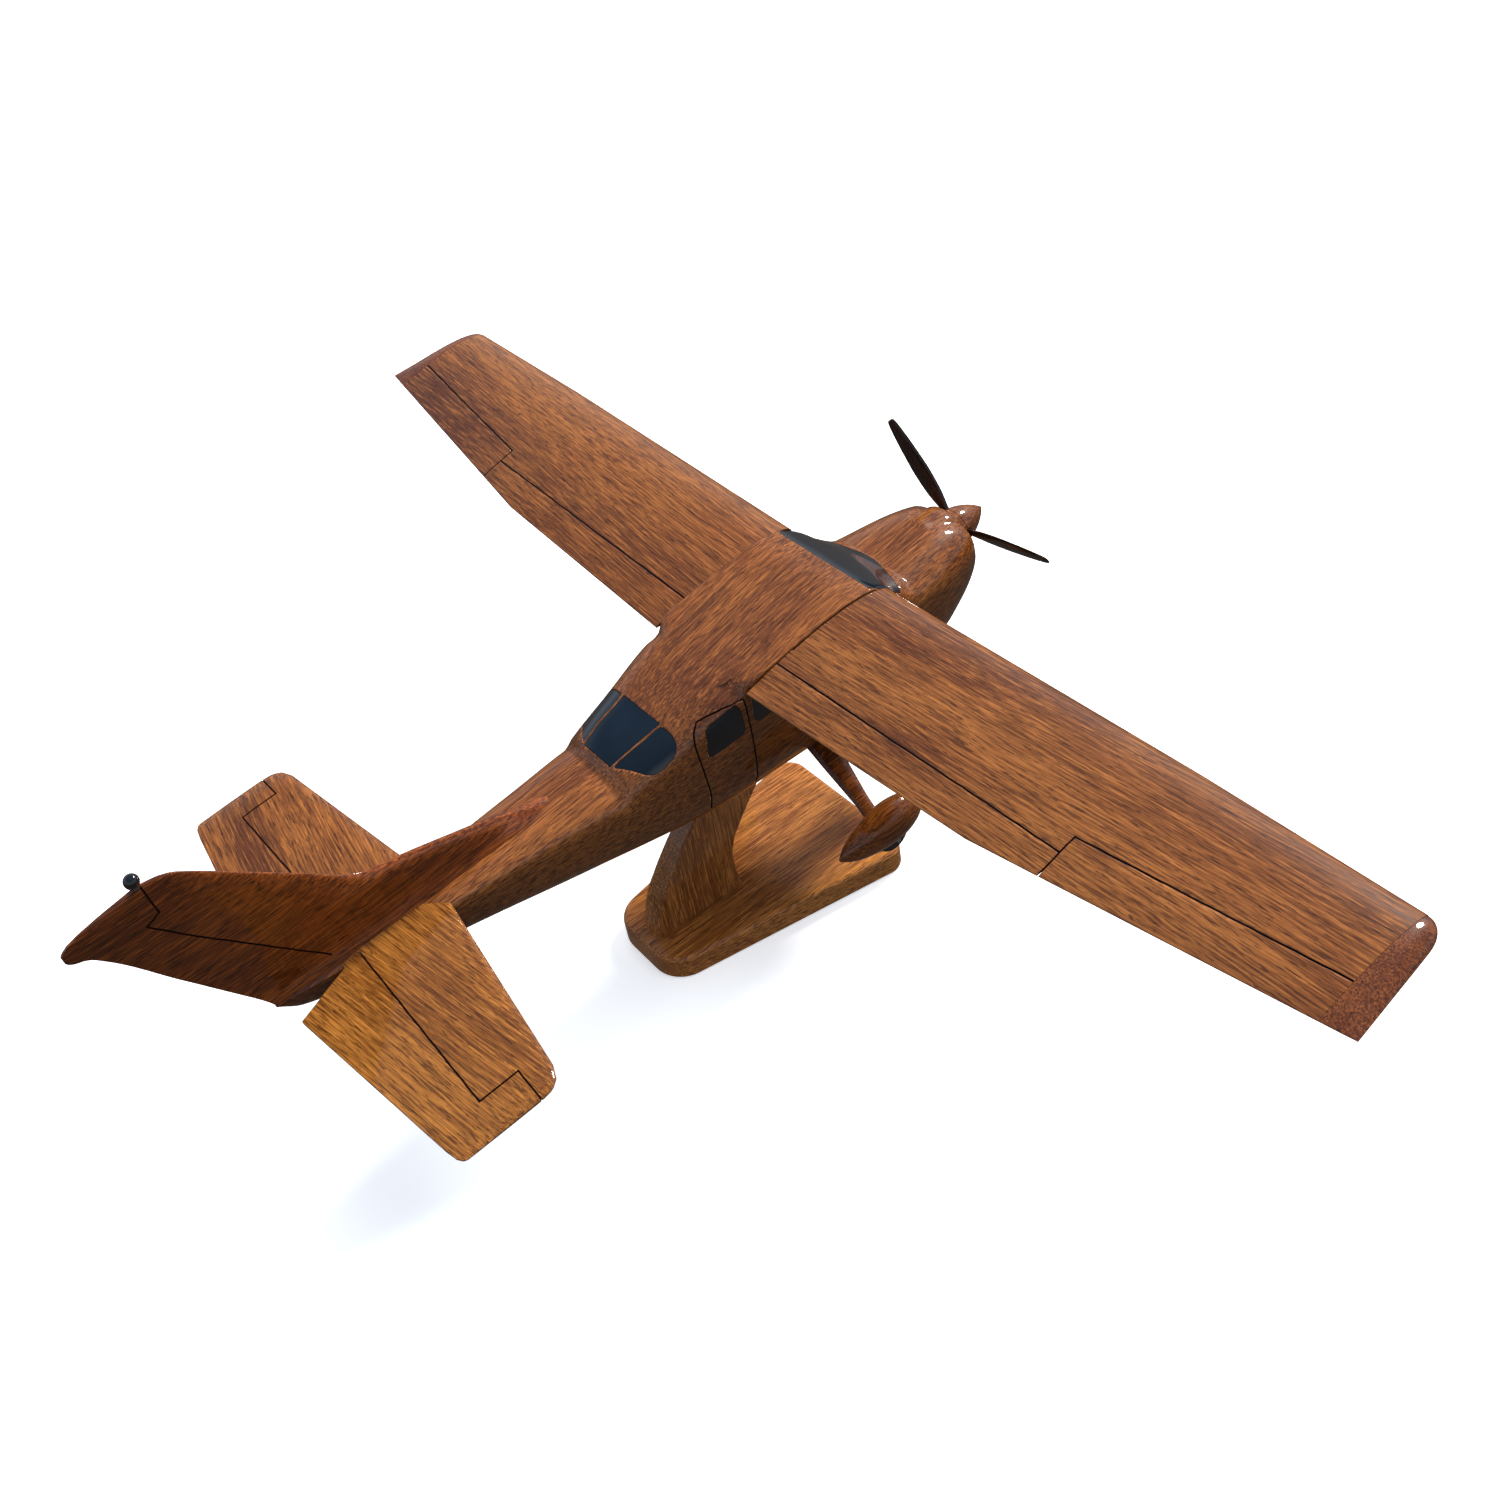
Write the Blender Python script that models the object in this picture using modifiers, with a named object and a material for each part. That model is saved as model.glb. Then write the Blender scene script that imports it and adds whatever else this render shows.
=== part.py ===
"""Carved and lacquered wooden desk model of a high-wing, single-engine light aeroplane on a display stand.

World frame: metres, +Z up, nose towards -Y, port wing towards +X, origin at the centre of the stand base's
underside. Lengths below are in millimetres. The aeroplane is drawn in its own level frame (X port, Y aft,
Z up), which hangs under one empty that gives it its nose-up attitude on the stand.
"""

import math

import bmesh
import bpy
from mathutils import Vector

MM = 0.001
GAP = 0.3
RUNNING_CLEARANCE = 0.1

# Stand
BASE_THICKNESS = 7.9
BASE_FRONT_Y = -40.0
BASE_REAR_Y = 39.6
BASE_FRONT_HALF = 28.0
BASE_REAR_HALF = 14.2
BASE_FRONT_RADIUS = 6.0
BASE_REAR_RADIUS = 10.0
BASE_EDGE_ROUND = 1.6
PILLAR_THICKNESS = 7.4
PILLAR_HEIGHT = 45.1
PILLAR_TOP_Z = BASE_THICKNESS + PILLAR_HEIGHT
# Pillar edges: position along Y and height above the base
PILLAR_FRONT_EDGE = (
    (4.2, GAP), (5.4, 6.8), (5.4, 12.6), (4.0, 18.2), (1.3, 22.6), (-2.5, 27.8), (-6.6, 32.8), (-9.8, 37.6),
    (-13.6, PILLAR_HEIGHT),
)
PILLAR_REAR_EDGE = (
    (6.2, PILLAR_HEIGHT), (12.6, 37.9), (16.9, 32.7), (22.7, 26.2), (28.6, 18.4), (33.0, 11.2), (35.7, GAP),
)
PEG_Y = -4.0
PEG_RADIUS = 2.0
PEG_DEPTH_IN_PILLAR = 14.0
PEG_DEPTH_IN_BELLY = 9.0
SCREW_Y = (12.0, 27.0)
SCREW_RADIUS = 1.5
SCREW_HEAD_RADIUS = 3.0
SCREW_HEAD_HEIGHT = 2.0
SCREW_LENGTH = 24.0
SCREW_RECESS = 0.6

# Attitude of the aeroplane on its stand
NOSE_UP_DEG = 5.45
AIRFRAME_ORIGIN = (0.0, -60.6, BASE_THICKNESS + 89.5)

# Fuselage stations: distance aft of the wing-root datum and the value there
HALF_WIDTH = (
    (-27.4, 7.6), (-26.6, 10.0), (-25.0, 12.2), (-22.0, 14.0), (-15.0, 16.2), (-5.0, 18.2), (5.0, 19.2),
    (15.0, 19.7), (62.0, 19.7), (75.0, 19.1), (88.0, 17.8), (100.0, 16.0), (115.0, 13.7), (135.0, 11.4),
    (153.0, 9.3), (175.0, 6.0), (195.0, 3.4), (202.0, 1.8),
)
TOP = (
    (-27.4, -11.2), (-26.0, -9.3), (-22.0, -8.0), (-12.0, -6.9), (1.6, -7.0), (2.0, -6.9), (10.0, -1.2),
    (18.0, 3.7), (18.4, 3.8), (28.0, 5.1), (40.0, 4.6), (52.0, 3.7), (62.0, 2.9), (72.0, 1.4), (84.0, -1.6),
    (99.6, -5.6), (102.4, -8.0), (107.0, -7.5), (115.0, -7.2), (202.0, -7.0),
)
BOTTOM = (
    (-27.4, -24.4), (-26.0, -27.0), (-22.0, -31.6), (-16.0, -36.0), (-8.0, -39.2), (10.0, -40.6),
    (40.0, -40.2), (60.0, -38.4), (76.0, -36.9), (90.0, -35.1), (115.0, -31.3), (153.0, -23.2),
    (175.0, -19.0), (190.0, -16.0), (197.0, -13.4), (202.0, -8.8),
)
WAIST = (
    (-27.4, -17.8), (-10.0, -19.0), (15.0, -17.0), (62.0, -17.0), (100.0, -17.5), (153.0, -13.5),
    (202.0, -7.9),
)
SHARPNESS_ABOVE = (
    (-27.4, 2.1), (-20.0, 2.3), (-10.0, 2.6), (0.0, 3.0), (9.0, 5.0), (14.0, 40.0), (54.0, 40.0),
    (63.0, 8.0), (72.0, 5.0), (84.0, 3.6), (100.0, 2.9), (115.0, 3.2), (153.0, 4.0), (202.0, 4.0),
)
SHARPNESS_BELOW = (
    (-27.4, 2.2), (-15.0, 2.4), (10.0, 3.6), (30.0, 4.2), (80.0, 4.0), (115.0, 3.2), (153.0, 2.6),
    (202.0, 2.4),
)
FUSELAGE_STATIONS = (
    -27.4, -27.0, -26.2, -25.0, -23.0, -20.0, -16.0, -10.0, -3.0, 1.9, 5.0, 8.0, 11.0, 14.0, 18.2, 22.0, 28.0,
    36.0, 45.0, 54.0, 59.0, 64.0, 69.0, 74.0, 79.0, 84.0, 89.0, 94.0, 99.4, 102.4, 106.0, 114.0, 126.0, 140.0,
    155.0, 170.0, 185.0, 195.0, 199.0, 201.2, 202.0,
)
FUSELAGE_RING_POINTS = 36
MOST_CROWDING = 8.0
FAIRING_FRONT_RADIUS = 6.6
FAIRING_SPREAD = 0.42
FAIRING_LENGTH = 12.0

# Propeller and spinner
THRUST_Z = -17.8
COWL_FACE_Y = -27.4
SPINNER_BASE_Y = COWL_FACE_Y - GAP
SPINNER_LENGTH = 12.0
SPINNER_RADIUS = 5.8
SPINNER_POWER = 1.9
SPINNER_BLUNTNESS = 0.9
BLADE_PLANE_Y = -29.3
BLADE_RAKE = 0.9
BLADE_TIP_RADIUS = 36.2
BLADE_ROOT_RADIUS = 3.4
BLADE_SOCKET_RADIUS = 1.3
BLADE_SOCKET_END = 9.0
BLADE_PHASE_DEG = 38.7
BLADE_COUNT = 3
PIN_RADIUS = 0.8
PIN_IN_SPINNER = 1.5
PIN_IN_COWL = 12.0

# Wing
ROOT_X = 20.0
SPAN_HALF = 190.0
TIP_CAP_X = 182.0
TIP_LEADING_X = 186.6
TIP_CORNER = 7.0
TIP_EDGE_SQUASH = 0.22
WING_LE_Y = 12.9
WING_TE_ROOT_Y = 62.6
WING_TE_KINK = (97.0, 60.1)
WING_TE_TIP = (190.0, 47.0)
WING_LE_TAPER_X = 125.0
WING_LE_TIP_Y = 14.2
DIHEDRAL_SLOPE = 0.027
WING_Z = 0.5
WING_THICKNESS_ROOT = 0.125
WING_THICKNESS_TIP = 0.105
WING_CAMBER = 0.026
AIRFOIL_POINTS = 12

# Horizontal tail
STAB_Z = -9.0
STAB_ROOT_HALF = 1.9
STAB_HALF_SPAN = 71.7

# Landing gear
MAIN_WHEEL_X = 42.0
MAIN_WHEEL_Y = 44.0
PANT_Z = -51.3
NOSE_WHEEL_Y = -5.0
PANT_LENGTH = 30.0
PANT_HALF_HEIGHT = 6.6
PANT_HALF_WIDTH = 5.0
PANT_FULLEST = 0.4
WHEEL_RADIUS = 5.2
WHEEL_HALF_WIDTH = 1.8
WHEEL_DROP = 4.6
AXLE_RADIUS = 0.7
AXLE_HALF_LENGTH = 3.9
WELL_CLEARANCE = 0.5

WOOD_DARK = (0.20, 0.075, 0.03)
WOOD_WING = (0.30, 0.12, 0.055)
WOOD_FUSELAGE = (0.30, 0.125, 0.055)
WOOD_TAIL = (0.27, 0.105, 0.035)
WOOD_STAND = (0.42, 0.16, 0.06)
GLASS_BLACK = (0.006, 0.010, 0.016)
STEEL = (0.55, 0.55, 0.56)
TYRE_BLACK = (0.02, 0.018, 0.017)


def clear_scene():
    for obj in list(bpy.data.objects):
        bpy.data.objects.remove(obj, do_unlink=True)


def new_collection(name):
    collection = bpy.data.collections.new(name)
    bpy.context.scene.collection.children.link(collection)
    return collection


def make_material(name, colour, roughness, metallic=0.0):
    material = bpy.data.materials.new(name)
    material.use_nodes = True
    shader = material.node_tree.nodes["Principled BSDF"]
    shader.inputs["Base Color"].default_value = (*colour, 1.0)
    shader.inputs["Roughness"].default_value = roughness
    shader.inputs["Metallic"].default_value = metallic
    material.diffuse_color = (*colour, 1.0)
    return material


clear_scene()
PARTS = new_collection("propeller_plane_model")
CUTTERS = new_collection("cutters")
CUTTERS.hide_render = True


def lerp(a, b, t):
    return a + (b - a) * t


def track(table, x):
    """Smooth value through the knots of a table, without overshoot between them."""
    if x <= table[0][0]:
        return table[0][1]
    if x >= table[-1][0]:
        return table[-1][1]
    steps = [b[0] - a[0] for a, b in zip(table, table[1:])]
    slopes = [(b[1] - a[1]) / (b[0] - a[0]) for a, b in zip(table, table[1:])]

    def tangent(i):
        if i == 0:
            return slopes[0]
        if i == len(table) - 1:
            return slopes[-1]
        before, after = slopes[i - 1], slopes[i]
        if before * after <= 0.0:
            return 0.0
        w1 = 2.0 * steps[i] + steps[i - 1]
        w2 = steps[i] + 2.0 * steps[i - 1]
        return (w1 + w2) / (w1 / before + w2 / after)

    k = max(i for i in range(len(table) - 1) if table[i][0] <= x)
    h = steps[k]
    t = (x - table[k][0]) / h
    rise = t * t * (3.0 - 2.0 * t)
    lead = t * (1.0 - t) * (1.0 - t) * h * tangent(k)
    trail = t * t * (t - 1.0) * h * tangent(k + 1)
    return lerp(table[k][1], table[k + 1][1], rise) + lead + trail


def fuselage_point(y, angle, offset=0.0):
    """Point of the fuselage skin at station y, in the direction of angle from port (+X) towards +Z."""
    waist = track(WAIST, y)
    above = math.sin(angle) >= 0.0
    height = track(TOP, y) - waist if above else waist - track(BOTTOM, y)
    power = track(SHARPNESS_ABOVE if above else SHARPNESS_BELOW, y)
    across = abs(math.cos(angle)) / track(HALF_WIDTH, y)
    up = abs(math.sin(angle)) / height
    radius = (across**power + up**power) ** (-1.0 / power) + offset
    return Vector((radius * math.cos(angle), y, waist + radius * math.sin(angle)))


def ring_angle(y, k, count):
    """Angle of the k-th of count ring points, closer together at the section's corners."""
    turn = 2.0 * math.pi * k / count
    waist = track(WAIST, y)
    above = math.sin(turn) >= 0.0
    height = track(TOP, y) - waist if above else waist - track(BOTTOM, y)
    power = track(SHARPNESS_ABOVE if above else SHARPNESS_BELOW, y)
    bias = 2.0 / max(2.0, min(power, MOST_CROWDING))
    c, s = math.cos(turn), math.sin(turn)
    across = math.copysign(abs(c) ** bias, c) * track(HALF_WIDTH, y)
    up = math.copysign(abs(s) ** bias, s) * height
    return math.atan2(up, across)


def with_fairing(point, y):
    """Pushes a cowl point out to the conical fairing that runs back from the spinner."""
    radius = FAIRING_FRONT_RADIUS + FAIRING_SPREAD * (y - COWL_FACE_Y)
    x, z = point.x, point.z - THRUST_Z
    distance = math.hypot(x, z)
    if distance >= radius or y > COWL_FACE_Y + FAIRING_LENGTH:
        return point
    return Vector((x * radius / distance, y, THRUST_Z + z * radius / distance))


def mesh_object(name, points, faces, material, parent=None, collection=None, smooth_deg=40.0):
    """Closed mesh from points in millimetres, with its faces turned outwards."""
    mesh = bpy.data.meshes.new(name)
    shape = bmesh.new()
    vertices = [shape.verts.new(Vector(p) * MM) for p in points]
    for face in faces:
        shape.faces.new([vertices[i] for i in face])
    bmesh.ops.recalc_face_normals(shape, faces=shape.faces)
    shape.to_mesh(mesh)
    shape.free()
    mesh.materials.append(material)
    mesh.shade_smooth()
    mesh.set_sharp_from_angle(angle=math.radians(smooth_deg))
    obj = bpy.data.objects.new(name, mesh)
    (collection or PARTS).objects.link(obj)
    obj.parent = parent
    if collection is CUTTERS:
        hide(obj)
    return obj


def hide(obj):
    obj.hide_render = True
    obj.display_type = "WIRE"


def loft(name, rings, material, **options):
    """Solid skin through rings that have the same number of points each."""
    count = len(rings[0])
    points = [p for ring in rings for p in ring]
    faces = [tuple(range(count))]
    for r in range(len(rings) - 1):
        for k in range(count):
            a, b = r * count + k, r * count + (k + 1) % count
            faces.append((a, b, b + count, a + count))
    faces.append(tuple((len(rings) - 1) * count + k for k in range(count)))
    return mesh_object(name, points, faces, material, **options)


def sheet_solid(name, grid_below, grid_above, material, **options):
    """Closed plate between two equal grids of points."""
    rows, columns = len(grid_below), len(grid_below[0])
    points = [p for grid in (grid_below, grid_above) for row in grid for p in row]
    above = rows * columns

    def at(r, c):
        return r * columns + c

    faces = []
    for r in range(rows - 1):
        for c in range(columns - 1):
            quad = (at(r, c), at(r, c + 1), at(r + 1, c + 1), at(r + 1, c))
            faces.append(quad)
            faces.append(tuple(i + above for i in reversed(quad)))
    rim = [at(0, c) for c in range(columns)]
    rim += [at(r, columns - 1) for r in range(1, rows)]
    rim += [at(rows - 1, c) for c in range(columns - 2, -1, -1)]
    rim += [at(r, 0) for r in range(rows - 2, 0, -1)]
    for a, b in zip(rim, rim[1:] + rim[:1]):
        faces.append((a, b, b + above, a + above))
    return mesh_object(name, points, faces, material, **options)


def disc_solid(name, outline, surface, low, high, material, rings=2, **options):
    """Closed plate with a free outline on a surface, between two offsets from it."""
    centre = [sum(p[i] for p in outline) / len(outline) for i in (0, 1)]
    points, faces = [], []
    count = len(outline)
    for offset in (low, high):
        points.append(surface(*centre, offset))
        for r in range(1, rings + 1):
            for p in outline:
                a, b = (lerp(centre[i], p[i], r / rings) for i in (0, 1))
                points.append(surface(a, b, offset))
    side = 1 + rings * count

    def at(layer, r, k):
        return layer * side + 1 + (r - 1) * count + k % count

    for layer in (0, 1):
        for k in range(count):
            faces.append((layer * side, at(layer, 1, k), at(layer, 1, k + 1)))
            for r in range(1, rings):
                quad = (at(layer, r, k), at(layer, r + 1, k), at(layer, r + 1, k + 1), at(layer, r, k + 1))
                faces.append(quad)
    for k in range(count):
        faces.append((at(0, rings, k), at(0, rings, k + 1), at(1, rings, k + 1), at(1, rings, k)))
    return mesh_object(name, points, faces, material, **options)


def cylinder(name, start, end, radius, material, parent=None, collection=None, sides=16):
    """Round bar between two points given in millimetres in the parent's frame."""
    start, end = Vector(start) * MM, Vector(end) * MM
    mesh = bpy.data.meshes.new(name)
    shape = bmesh.new()
    length = (end - start).length
    bmesh.ops.create_cone(
        shape, cap_ends=True, segments=sides, radius1=radius * MM, radius2=radius * MM, depth=length
    )
    shape.to_mesh(mesh)
    shape.free()
    mesh.materials.append(material)
    mesh.shade_smooth()
    mesh.set_sharp_from_angle(angle=math.radians(40.0))
    obj = bpy.data.objects.new(name, mesh)
    (collection or PARTS).objects.link(obj)
    obj.parent = parent
    obj.location = (start + end) / 2.0
    obj.rotation_euler = (end - start).to_track_quat("Z", "Y").to_euler()
    if collection is CUTTERS:
        hide(obj)
    return obj


def turned(name, profile, material, parent, location, rotation=(0.0, 0.0, 0.0), steps=32, collection=None):
    """Solid of revolution about the object's Z axis from (radius, height) points, top to bottom."""
    mesh = bpy.data.meshes.new(name)
    points = [(r * MM, 0.0, z * MM) for r, z in profile]
    mesh.from_pydata(points, [(i, i + 1) for i in range(len(points) - 1)], [])
    mesh.materials.append(material)
    obj = bpy.data.objects.new(name, mesh)
    (collection or PARTS).objects.link(obj)
    obj.parent = parent
    obj.location = Vector(location) * MM
    obj.rotation_euler = rotation
    screw = obj.modifiers.new("turn", "SCREW")
    screw.steps = steps
    screw.render_steps = steps
    screw.use_merge_vertices = True
    screw.merge_threshold = 0.00001
    screw.use_smooth_shade = True
    if collection is CUTTERS:
        hide(obj)
    return obj


def cut(obj, *cutters):
    for cutter in cutters:
        boolean = obj.modifiers.new("cut_" + cutter.name, "BOOLEAN")
        boolean.operation = "DIFFERENCE"
        boolean.solver = "EXACT"
        boolean.object = cutter


def empty(name, location, parent=None, rotation=(0.0, 0.0, 0.0)):
    obj = bpy.data.objects.new(name, None)
    PARTS.objects.link(obj)
    obj.location = Vector(location) * MM
    obj.rotation_euler = rotation
    obj.parent = parent
    return obj


def rounded_outline(corners, steps=6):
    """Closed outline through corners (x, y, radius), each corner an arc."""
    outline = []
    count = len(corners)
    for i, (x, y, radius) in enumerate(corners):
        here = Vector((x, y))
        to_last = (Vector(corners[i - 1][:2]) - here).normalized()
        to_next = (Vector(corners[(i + 1) % count][:2]) - here).normalized()
        if radius == 0.0:
            outline.append(here)
            continue
        half = math.acos(max(-1.0, min(1.0, to_last.dot(to_next)))) / 2.0
        centre = here + (to_last + to_next).normalized() * radius / math.sin(half)
        first = here + to_last * radius / math.tan(half) - centre
        last = here + to_next * radius / math.tan(half) - centre
        turn = math.atan2(first.x * last.y - first.y * last.x, first.dot(last))
        for k in range(steps + 1):
            angle = turn * k / steps
            c, s = math.cos(angle), math.sin(angle)
            outline.append(centre + Vector((first.x * c - first.y * s, first.x * s + first.y * c)))
    return outline


def plate(name, outline, thickness, material, rotation, location, bevel=0.0, parent=None, collection=None):
    """Flat board: a filled 2D curve extruded by half its thickness to each side."""
    curve = bpy.data.curves.new(name, "CURVE")
    curve.dimensions = "2D"
    curve.fill_mode = "BOTH"
    curve.extrude = thickness * MM / 2.0
    spline = curve.splines.new("POLY")
    spline.points.add(len(outline) - 1)
    for point, p in zip(spline.points, outline):
        point.co = (p[0] * MM, p[1] * MM, 0.0, 1.0)
    spline.use_cyclic_u = True
    guide = bpy.data.objects.new(name + "_outline", curve)
    bpy.context.scene.collection.objects.link(guide)
    graph = bpy.context.evaluated_depsgraph_get()
    mesh = bpy.data.meshes.new_from_object(guide.evaluated_get(graph))
    bpy.data.objects.remove(guide)
    shape = bmesh.new()
    shape.from_mesh(mesh)
    bmesh.ops.remove_doubles(shape, verts=shape.verts, dist=0.000001)
    bmesh.ops.recalc_face_normals(shape, faces=shape.faces)
    shape.to_mesh(mesh)
    shape.free()
    mesh.name = name
    mesh.materials.clear()
    mesh.materials.append(material)
    obj = bpy.data.objects.new(name, mesh)
    (collection or PARTS).objects.link(obj)
    obj.parent = parent
    obj.rotation_euler = rotation
    obj.location = Vector(location) * MM
    if bevel:
        edge = obj.modifiers.new("round_edge", "BEVEL")
        edge.width = bevel * MM
        edge.segments = 2
        edge.limit_method = "ANGLE"
        edge.angle_limit = math.radians(60.0)
    if collection is CUTTERS:
        hide(obj)
    return obj


# Materials
wood_wing = make_material("lacquered_wing_wood", WOOD_WING, 0.22)
wood_fuselage = make_material("lacquered_fuselage_wood", WOOD_FUSELAGE, 0.2)
wood_tail = make_material("lacquered_tail_wood", WOOD_TAIL, 0.22)
wood_dark = make_material("dark_stained_wood", WOOD_DARK, 0.25)
wood_stand = make_material("lacquered_stand_wood", WOOD_STAND, 0.25)
gloss_black = make_material("gloss_black_glazing", GLASS_BLACK, 0.06)
dowel_wood = make_material("plain_dowel_wood", (0.62, 0.45, 0.27), 0.6)
steel = make_material("steel_pin", STEEL, 0.35, 1.0)
tyre = make_material("black_wheel", TYRE_BLACK, 0.4)

airframe = empty("airframe_attitude", AIRFRAME_ORIGIN, rotation=(-math.radians(NOSE_UP_DEG), 0.0, 0.0))


def fuselage_rings(offset=0.0):
    rings = []
    for y in FUSELAGE_STATIONS:
        angles = [ring_angle(y, k, FUSELAGE_RING_POINTS) for k in range(FUSELAGE_RING_POINTS)]
        rings.append([with_fairing(fuselage_point(y, a, offset), y) for a in angles])
    return rings


fuselage = loft("fuselage", fuselage_rings(), wood_fuselage, parent=airframe)
fuselage_clearance = loft(
    "fuselage_clearance", fuselage_rings(GAP), wood_fuselage, parent=airframe, collection=CUTTERS
)

# Glazing: thin gloss panels let into pockets of the carved fuselage
PANEL_THICKNESS = 0.9
POCKET_DEPTH = PANEL_THICKNESS + GAP
PROUD = 1.5


def windshield_surface(u, v, offset):
    """u runs from starboard to port, v from the cowl to the roof edge."""
    side = 2.0 * u - 1.0
    base_y = 2.4 + 4.6 * abs(side) ** 2.2
    half_sweep = math.radians(lerp(58.0, 41.5, v))
    return fuselage_point(lerp(base_y, 17.6, v), math.pi / 2.0 - side * half_sweep, offset)


def grid(surface, columns, rows, offset, border=0.0):
    """Rows of points of a surface over the unit square, let out by border at its edges."""
    table = []
    for r in range(rows + 1):
        v = lerp(-border, 1.0 + border, r / rows)
        across = [lerp(-border, 1.0 + border, c / columns) for c in range(columns + 1)]
        table.append([surface(u, v, offset) for u in across])
    return table


def inlay(name, surface, columns, rows, border):
    """A panel and the pocket that it lies in."""
    panel = sheet_solid(
        name,
        grid(surface, columns, rows, -PANEL_THICKNESS),
        grid(surface, columns, rows, 0.0),
        gloss_black,
        parent=airframe,
    )
    pocket = sheet_solid(
        name + "_pocket",
        grid(surface, columns, rows, -POCKET_DEPTH, border),
        grid(surface, columns, rows, PROUD, border),
        gloss_black,
        parent=airframe,
        collection=CUTTERS,
    )
    cut(fuselage, pocket)
    return panel


inlay("windshield", windshield_surface, 12, 4, 0.014)

REAR_WINDOW_TOP_Y = 83.4
REAR_WINDOW_LOW_Y = 99.6


def rear_window_surface(u, v, offset):
    """Centre panel: u runs from starboard to port, v from the roof down to the tail cone."""
    half_sweep = math.radians(27.0)
    angle = math.pi / 2.0 - (2.0 * u - 1.0) * half_sweep
    return fuselage_point(lerp(REAR_WINDOW_TOP_Y, REAR_WINDOW_LOW_Y, v), angle, offset)


inlay("rear_window_centre", rear_window_surface, 4, 4, 0.02)


def mirrored(outline, side):
    return outline if side > 0 else [(y, math.pi - angle) for y, angle in outline]


def grown(outline, amount):
    """Outline in (station, angle) let out by amount along the skin."""
    centre = [sum(p[i] for p in outline) / len(outline) for i in (0, 1)]
    waist_radius = track(HALF_WIDTH, centre[0])
    out = []
    for y, angle in outline:
        dy, da = y - centre[0], (angle - centre[1]) * waist_radius
        length = math.hypot(dy, da)
        scale = (length + amount) / length
        out.append((centre[0] + dy * scale, centre[1] + da * scale / waist_radius))
    return out


def side_inlay(name, corners):
    """Rounded side window on each side, from corners (station, angle in degrees, radius) on the port side."""
    scale = math.degrees(1.0 / 18.0)
    flat = rounded_outline([(y, degrees / scale, radius) for y, degrees, radius in corners], steps=4)
    outline = [(p.x, math.radians(p.y * scale)) for p in flat]
    for side, label in ((1, "port"), (-1, "starboard")):
        here = mirrored(outline, side)
        disc_solid(
            f"{name}_{label}", here, fuselage_point, -PANEL_THICKNESS, 0.0, gloss_black, parent=airframe
        )
        pocket = disc_solid(
            f"{name}_{label}_pocket",
            grown(here, GAP),
            fuselage_point,
            -POCKET_DEPTH,
            PROUD,
            gloss_black,
            parent=airframe,
            collection=CUTTERS,
        )
        cut(fuselage, pocket)


side_inlay("rear_window", ((83.6, 60.0, 0.8), (83.0, 37.0, 5.0), (93.0, 28.0, 5.0), (99.6, 60.0, 0.8)))
side_inlay("cabin_window", ((65.3, 39.6, 1.6), (75.8, 37.6, 1.6), (78.3, 14.6, 1.4), (65.8, 14.9, 1.8)))
side_inlay("door_window", ((30.0, 38.0, 2.0), (61.2, 38.0, 1.6), (62.4, 16.5, 1.8), (33.0, 18.0, 3.0)))


# Wings
def airfoil_heights(t, thickness):
    """Upper and lower heights, in chords, of a cambered aerofoil at t along the chord."""
    half = 5.0 * thickness * (
        0.2969 * math.sqrt(t) - 0.1260 * t - 0.3516 * t**2 + 0.2843 * t**3 - 0.1015 * t**4
    )
    half += 0.004 * t
    if t < 0.4:
        camber = WING_CAMBER / 0.16 * (0.8 * t - t * t)
    else:
        camber = WING_CAMBER / 0.36 * (0.2 + 0.8 * t - t * t)
    return camber + half, camber - half


def airfoil_ring(x, leading, trailing, z, thickness, squash=1.0):
    """Ring from the trailing edge over the top to the leading edge and back below."""
    chord = trailing - leading
    ring = []
    for k in range(AIRFOIL_POINTS + 1):
        t = (1.0 + math.cos(math.pi * k / AIRFOIL_POINTS)) / 2.0
        upper, _ = airfoil_heights(t, thickness)
        ring.append((x, leading + t * chord, z + upper * chord * squash))
    for k in range(AIRFOIL_POINTS - 1, -1, -1):
        t = (1.0 + math.cos(math.pi * k / AIRFOIL_POINTS)) / 2.0
        _, lower = airfoil_heights(t, thickness)
        ring.append((x, leading + t * chord, z + lower * chord * squash))
    return ring


def wing_leading(x):
    return lerp(WING_LE_Y, WING_LE_TIP_Y, max(0.0, (x - WING_LE_TAPER_X) / (SPAN_HALF - WING_LE_TAPER_X)))


def wing_trailing(x):
    if x < WING_TE_KINK[0]:
        return lerp(WING_TE_ROOT_Y, WING_TE_KINK[1], (x - ROOT_X) / (WING_TE_KINK[0] - ROOT_X))
    return lerp(WING_TE_KINK[1], WING_TE_TIP[1], (x - WING_TE_KINK[0]) / (WING_TE_TIP[0] - WING_TE_KINK[0]))


def wing_plane(x):
    """Height of the chord line and relative thickness at span station x."""
    share = (x - ROOT_X) / (SPAN_HALF - ROOT_X)
    return WING_Z + DIHEDRAL_SLOPE * (x - ROOT_X), lerp(WING_THICKNESS_ROOT, WING_THICKNESS_TIP, share)


def wing_section(x, side):
    z, thickness = wing_plane(x)
    return airfoil_ring(side * x, wing_leading(x), wing_trailing(x), z, thickness)


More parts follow.
